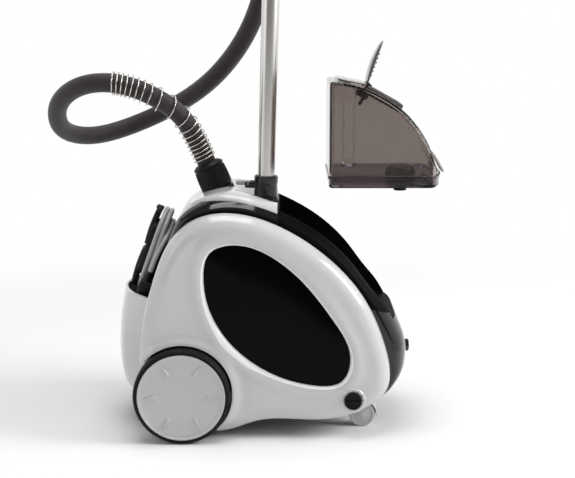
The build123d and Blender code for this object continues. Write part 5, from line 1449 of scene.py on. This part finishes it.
def make_tank_shell():
    """Clear smoked shell: two skins, finger recesses, a mouth for the filler and a flap at its foot."""
    outer = [placed(TANK, row) for row in tank_skin(0, TANK_FOOT, 5.0)]
    inner = [placed(TANK, row) for row in tank_skin(TANK_WALL, TANK_FOOT, 3.0)]
    shell = skin("tank_clear_shell", [*inner[::-1], *outer], SMOKED, caps=True, sharp=45)
    shell.data.materials.append(SMOKED_EDGE_SHADE)
    for face in shell.data.polygons:
        spot = drawn(face.center) - TANK.translation
        near_side = TANK_HALF - abs(spot.y)
        near_top = 1.0 < crown_height(spot.x) - spot.z < 4.2 and near_side < 3.2
        near_back = spot.x < 3.4 and near_side < 3.4
        if spot.z > TANK_FOOT + 3 and (near_back or near_top and spot.x < FILLER_REACH):
            face.material_index = 1          # painted shade: the darker line that light through its thick edges shows
    mouth = cushion_box("mouth", (-6, -26.3, -40), (58.3, 26.3, 20), 3, SMOKED, FILLER, steps=3)
    shell = cut(shell, mouth)
    line = [(146.5, 47), (151, 41), (157, 31), (163, 20)]
    flap = [*line, *[(x - 2.4, z - 1.6) for x, z in reversed(line)]]
    flap = prism("flap", placed_outline(flap), -42, 42, 0.8, SMOKED, steps=3)
    step = prism("step", placed_outline([(12, 144.6), (12, 150), (54, 141.5), (54, 134)]), -56, 56, 1.2,
                 SMOKED)
    return joined("tank_clear_shell", [shell, flap, step])


def placed_outline(outline):
    """Side outline of the tank's frame as one of the drawings."""
    return [(point[0], point[2]) for point in placed(TANK, [(x, 0, z) for x, z in outline])]


def make_tank_base():
    """Base with a seam under the shell, a ledge, a bevelled foot and a dished floor."""
    rows = []
    for inset, z in ((2.5, 4.0), (2.5, 16.6), (0.2, 17.0), (-1.5, 16.4), (-1.5, 12.6), (-0.2, 12.0),
                     (0, 11.0), (0, 1.2), (1.2, 0.0), (14, 0.0), (16, 0.8)):
        plan = tank_plan(inset)
        rows.append(placed(TANK, [(x, y, z) for x, y in plan]))
    base = skin("tank_base_moulding", rows, SMOKED_BASE, caps=True, sharp=40)
    hole = cylinder("hole", VALVE_R - 2, (VALVE_X, 0, -3), (VALVE_X, 0, 12), SMOKED, 0.1, turn=TANK)
    return cut(base, hole)


def make_filler():
    """Raised filler frame: rounded rim, stepped seat, hinge ears and pin."""
    rim = cushion_box("rim", (0, -26, -12), (58, 26, 0), 2.5, SMOKED_GREY, FILLER, steps=4)
    room = cushion_box("room", (8, -21, -20), (53, 21, 6), 3, SMOKED_GREY, FILLER)
    seat = cushion_box("seat", (5.5, -23, -1.2), (55, 23, 6), 1, SMOKED_GREY, FILLER, steps=2)
    barrel = cylinder("barrel", 5, (0, -13, 0), (0, 13, 0), SMOKED_GREY, 0.2, turn=FILLER)
    pieces = [cut(rim, room, seat, barrel)]
    for low, high in both_sides(13, 17):
        pieces.append(cylinder("ear", 4, (0, low, 0), (0, high, 0), SMOKED_GREY, 0.6, turn=FILLER))
        pieces.append(cushion_box("ear_foot", (0, low, -8), (6, high, 2.6), 0.8, SMOKED_GREY, FILLER,
                                  steps=2))
    pieces.append(cushion_box("hinge_box", (-9, -16, -20), (9, 16, -6), 2, SMOKED_GREY, FILLER))
    pieces.append(cushion_box("float_post", (2, -3, -31), (7, 3, -19), 1, SMOKED_GREY, FILLER, steps=2))
    pieces.append(cylinder("pin", 1.5, (0, -17, 0), (0, 17, 0), AXLE, 0.2, 24, FILLER))
    return joined("filler_frame_moulding", pieces)


LID_LENGTH = 58.0          # without the thin lip at its tip


def lid_half(x):
    """Half width of the lid, which narrows towards its tip."""
    return 25.0 - 9.0 * max((x - 18) / 40, 0) ** 1.6


def make_lid():
    """Lid with a domed outside, rounded sides, a thin lip at its tip and ribs across its inside."""
    rows = []
    for x in [*np.linspace(5, LID_LENGTH, 28), 60, 62, 63.5, 64.6, 65]:
        past = x - LID_LENGTH
        half = lid_half(x) if past <= 0 else 16 - past ** 2 * 0.16
        thick = 3.6 - past * 0.35 if past > 0 else 3.0 + 3.2 * math.sin(math.pi * (x - 2) / 60)
        row = []
        for a in even_angles(40):
            y = half * boxy(math.cos(a), 0.35)
            z = 0.3 + thick * (0.5 + 0.5 * boxy(math.sin(a), 0.6))
            row.append((x, y, z))
        rows.append(placed(LID, row))
    leaf = skin("leaf", rows, SMOKED_GREY, caps=True, sharp=40)
    rib = cushion_box("rib", (13, -19, -0.9), (15, 19, 1.0), 0.6, SMOKED_GREY, LID, steps=2)
    ribs = repeated(rib, 6, step=LID.to_3x3() @ Vector((6.4, 0, 0)))
    knuckle = cylinder("knuckle", 3.4, (0, -12, 0), (0, 12, 0), SMOKED_GREY, 0.4, 40, LID)
    tongue = cushion_box("tongue", (0, -12, 0.3), (8, 12, 3.4), 0.5, SMOKED_GREY, LID, steps=2)
    return joined("tank_lid_moulding", [leaf, ribs, knuckle, tongue])


def make_filter():
    """Domed filter cup over the valve, with slots round its wall."""
    base = 4.0
    profile = [(19, base), (21, base), (21, base + 13), (19.4, base + 17.5), (15, base + 20.8),
               (8, base + 22), (0, base + 22), (0, base + 20), (8, base + 20), (14, base + 18.9),
               (17.8, base + 16), (19, base + 13)]
    cup = lathe("cup", profile, VALVE, (0, 0, 1), SMOKED_GREY, 96, sharp=50)
    slot = cushion_box("slot", VALVE + Vector((20.8, -0.7, base + 3)), VALVE + Vector((21.3, 0.7, base + 11)),
                       0.2, NYLON, steps=1)
    slots = repeated(slot, 24, centre=VALVE, axis=(0, 0, 1), turn=15)
    return joined("inlet_filter_cup", [cup, slots])


def make_valve():
    """Stepped valve body under the tank, with its seal ring."""
    profile = [(2.6, 6), (7.5, 6), (7.5, 0), (VALVE_FLANGE_R - 0.8, 0), (VALVE_FLANGE_R, -0.8),
               (VALVE_FLANGE_R, -4.4), (VALVE_FLANGE_R - 0.8, -5), (VALVE_R, -5), (VALVE_R, -7.6),
               (VALVE_R - 0.7, -8.2), (VALVE_R - 0.7, -9.8), (VALVE_R, -10.4), (VALVE_R, -12.2),
               (VALVE_R - 0.8, -13), (6, -13), (6, -5), (2.6, -5)]
    return lathe("tank_valve_body", profile, VALVE, (0, 0, 1), NYLON, 72)


def make_plunger():
    """Spring-loaded pin in the valve, with its head."""
    profile = [(0, -11), (1.9, -11), (2.5, -10.4), (2.5, 6.1), (5.1, 6.1), (5.5, 6.6), (5.5, 8.4), (4.9, 9),
               (0, 9)]
    return lathe("tank_valve_plunger", profile, VALVE, (0, 0, 1), NYLON, 48, closed=False)


fit(make_tank_shell(), "tank", "smoked_tank", "tank_shell")
fit(make_tank_base(), "tank", "smoked_tank", "tank_base")
fit(make_filler(), "tank", "grey_filler", "filler_frame")
fit(make_lid(), "lid", "grey_filler", "tank_lid")
fit(make_filter(), "tank", "valve_black", "inlet_filter")
fit(make_valve(), "tank", "valve_black", "valve_body")
fit(make_plunger(), "plunger", "valve_black", "valve_plunger")


# ---------------------------------------------------------------- cuffs and socket of the hose
HOSE_START = Vector(NECK_TOP)
CUFF_AXIS = Vector((-math.sin(math.radians(23)), 0, math.cos(math.radians(23))))
CUFF_LENGTH, CUFF_INSERT, CUFF_R = 36.0, 10.0, 19.5


def ribbed(profile, origin, way, ribs, rib_r, low, high, look, name):
    """Turned rubber piece with upright ribs round it, laid by Geometry Nodes."""
    body = lathe("body", profile, origin, way, look, 96, closed=False)
    side, _ = axes_for(way)
    rows = []
    for share in np.linspace(0, 1, 9):
        radius, distance = rib_r[0] + (rib_r[1] - rib_r[0]) * share, low + (high - low) * share
        middle = Vector(origin) + Vector(way).normalized() * distance + side * radius
        across = side.cross(Vector(way)).normalized()
        size = 0.9 * math.sin(math.pi * min(max(share, 0.08), 0.92)) ** 0.3
        rows.append([middle + side * (size * math.cos(a)) + across * (size * math.sin(a))
                     for a in even_angles(8)])
    rib = skin("rib", rows, look, caps=True, sharp=60)
    ribs = repeated(rib, ribs, centre=origin, axis=way, turn=360 / ribs)
    return joined(name, [body, ribs])


def make_lower_cuff():
    """Cuff at the housing: a plain foot, a ribbed grip that widens downwards and a rolled end."""
    origin = HOSE_START - CUFF_AXIS * (CUFF_LENGTH + CUFF_INSERT)
    top = CUFF_LENGTH + CUFF_INSERT
    profile = [(0, 0), (CUFF_R - 1, 0), (CUFF_R, 1.5), (CUFF_R, 6), (CUFF_R + 3, 8), (CUFF_R + 3.2, 10),
               (CUFF_R + 2.2, top - 9), (CUFF_R + 1.6, top - 7), (CUFF_R + 2.6, top - 6),
               (CUFF_R + 2.8, top - 4.4), (CUFF_R + 1.4, top - 3), (CUFF_R - 2.4, top), (12.5, top),
               (0, top - 1)]
    return ribbed(profile, origin, CUFF_AXIS, 32, (CUFF_R + 3.0, CUFF_R + 2.2), 11, top - 9, CUFF,
                  "hose_cuff_lower")


def make_upper_cuff():
    """Cuff between the hose and the handset."""
    origin = HANDSET.translation
    way = HANDSET.col[2].to_3d()
    profile = [(0, 0), (14.6, 0), (15.5, 1.2), (15.8, 4), (16.2, 5), (16.4, 10), (15.6, 12), (15.9, 26),
               (16.5, 27), (16.5, 30), (0, 30)]
    return ribbed(profile, origin, way, 24, (15.5, 15.8), 12.5, 25, CUFF, "hose_cuff_upper")


def make_socket():
    """Neck in the housing that the cuff is pushed into."""
    origin = HOSE_START - CUFF_AXIS * (CUFF_LENGTH + 15)
    profile = [(20.2, 0), (23.4, 0), (23.4, 10), (22.9, 11.4), (20.6, 11.4), (20.2, 11)]
    return lathe("hose_socket_neck", profile, origin, CUFF_AXIS, SATIN_BLACK, 96)


cuff = make_lower_cuff()
upper_cuff = make_upper_cuff()
fit(cuff, "body", "hose_cuffs", "hose_cuffs")
fit(upper_cuff, "body", "hose_cuffs", "hose_cuffs")
fit(make_socket(), "body", "black_matte_cradle", "hose_socket")

# ---------------------------------------------------------------- pole's collar, clamps and levers
# In the pole's frame, whose Z runs up it from its foot.
LOWER_R, MID_R, UPPER_R = 12.5, 11.25, 10.0
LOWER_TOP, MID_TOP = 594.0, 646.0
LOCK_X, LOCK_Z = -26.0, 33.0
POLE_WAY = POLE.col[2].to_3d()


def make_collar():
    """Collar at the pole's foot: a flange, a waist and a rolled top, with two ears for its lever."""
    profile = [(12.55, 3), (19.2, 3), (19.2, 11), (18.6, 12.4), (17.6, 13.6), (16.8, 17), (16.4, 32),
               (17.0, 34.4), (17.2, 43.6), (16.6, 44.6), (14.8, 44.6), (14.6, 38), (12.55, 37)]
    pieces = [lathe("ring", rounded(profile, 0.6), POLE.translation, POLE_WAY, SATIN_BLACK, 96)]
    for low, high in both_sides(6.5, 9.5):
        pieces.append(cushion_box("ear", (LOCK_X - 4, low, LOCK_Z - 6), (-12, high, LOCK_Z + 3), 1.2,
                                  SATIN_BLACK, POLE, steps=3))
    pieces.append(cylinder("pin", 1.8, (LOCK_X, -9.6, LOCK_Z), (LOCK_X, 9.6, LOCK_Z), AXLE, 0.3, 32, POLE))
    return joined("pole_collar_moulding", pieces)


def make_lock_lever():
    """Lever that frees the pole: a rounded paddle on its barrel."""
    barrel = cylinder("barrel", 4.0, (LOCK_X, -6, LOCK_Z), (LOCK_X, 6, LOCK_Z), GREY, 0.5, 40, POLE)
    paddle = cushion_box("paddle", (LOCK_X - 17, -6, LOCK_Z - 2.6), (LOCK_X, 6, LOCK_Z + 4), 2.4, GREY, POLE)
    return joined("pole_lock_paddle", [barrel, paddle])


CLAMP_R, CLAMP_PIVOT = 18.0, 25.0
CLAMP_TURN = POLE @ Matrix.Rotation(math.radians(-90), 4, "Z")


def make_clamp(name, outer_r, inner_r, tube_top):
    """Clamp at a tube's end: a soft-edged sleeve with two ears, and its pivot pin."""
    bottom, top = tube_top - 34, tube_top + 12
    profile = [(outer_r + 0.05, bottom), (CLAMP_R - 1.2, bottom), (CLAMP_R, bottom + 1.6),
               (CLAMP_R, bottom + 9), (CLAMP_R - 0.9, bottom + 10), (CLAMP_R - 0.9, top - 10),
               (CLAMP_R, top - 9), (CLAMP_R, top - 3), (CLAMP_R - 2.4, top), (inner_r + 0.1, top),
               (inner_r + 0.1, tube_top), (outer_r + 0.05, tube_top)]
    pieces = [lathe("sleeve", rounded(profile, 0.8), POLE.translation, POLE_WAY, SATIN_BLACK, 96)]
    middle = tube_top - 11
    for z in (middle - 15, middle + 9):
        pieces.append(cushion_box("ear", (outer_r + 3, -4.5, z), (CLAMP_PIVOT + 4, 4.5, z + 6), 1.4,
                                  SATIN_BLACK, CLAMP_TURN, steps=3))
    pieces.append(cylinder("pin", 2.5, (CLAMP_PIVOT, 0, middle - 15.4), (CLAMP_PIVOT, 0, middle + 15.4), AXLE,
                           0.4, 32, CLAMP_TURN))
    return joined(name, pieces)


def make_clamp_lever(name, tube_top):
    """Clamp's lever: a barrel and a flat thumb plate with grip ribs."""
    middle = tube_top - 11
    low, high = middle - 8.7, middle + 8.7
    barrel = cylinder("barrel", 5.0, (CLAMP_PIVOT, 0, low), (CLAMP_PIVOT, 0, high), GREY, 0.6, 40, CLAMP_TURN)
    plate = cushion_box("plate", (CLAMP_PIVOT - 0.6, -36, low), (CLAMP_PIVOT + 4.6, 0, high), 1.9, GREY,
                        CLAMP_TURN)
    rib = cushion_box("rib", (CLAMP_PIVOT + 4.0, -34, low + 3), (CLAMP_PIVOT + 5.0, -33, high - 3), 0.4, GREY,
                      CLAMP_TURN, steps=2)
    ribs = repeated(rib, 5, step=CLAMP_TURN.to_3x3() @ Vector((0, 2.2, 0)))
    return joined(name, [barrel, plate, ribs])


fit(make_collar(), "body", "black_pole_fittings", "pole_collar")
fit(make_lock_lever(), "lock_lever", "grey_levers", "pole_lock_lever")
fit(make_clamp("lower_clamp_sleeve", LOWER_R, MID_R, LOWER_TOP), "body", "black_pole_fittings", "lower_clamp")
fit(make_clamp("upper_clamp_sleeve", MID_R, UPPER_R, MID_TOP), "mid_pole", "black_pole_fittings",
    "upper_clamp")
fit(make_clamp_lever("lower_clamp_plate", LOWER_TOP), "lower_lever", "grey_levers", "lower_clamp_lever")
fit(make_clamp_lever("upper_clamp_plate", MID_TOP), "upper_lever", "grey_levers", "upper_clamp_lever")
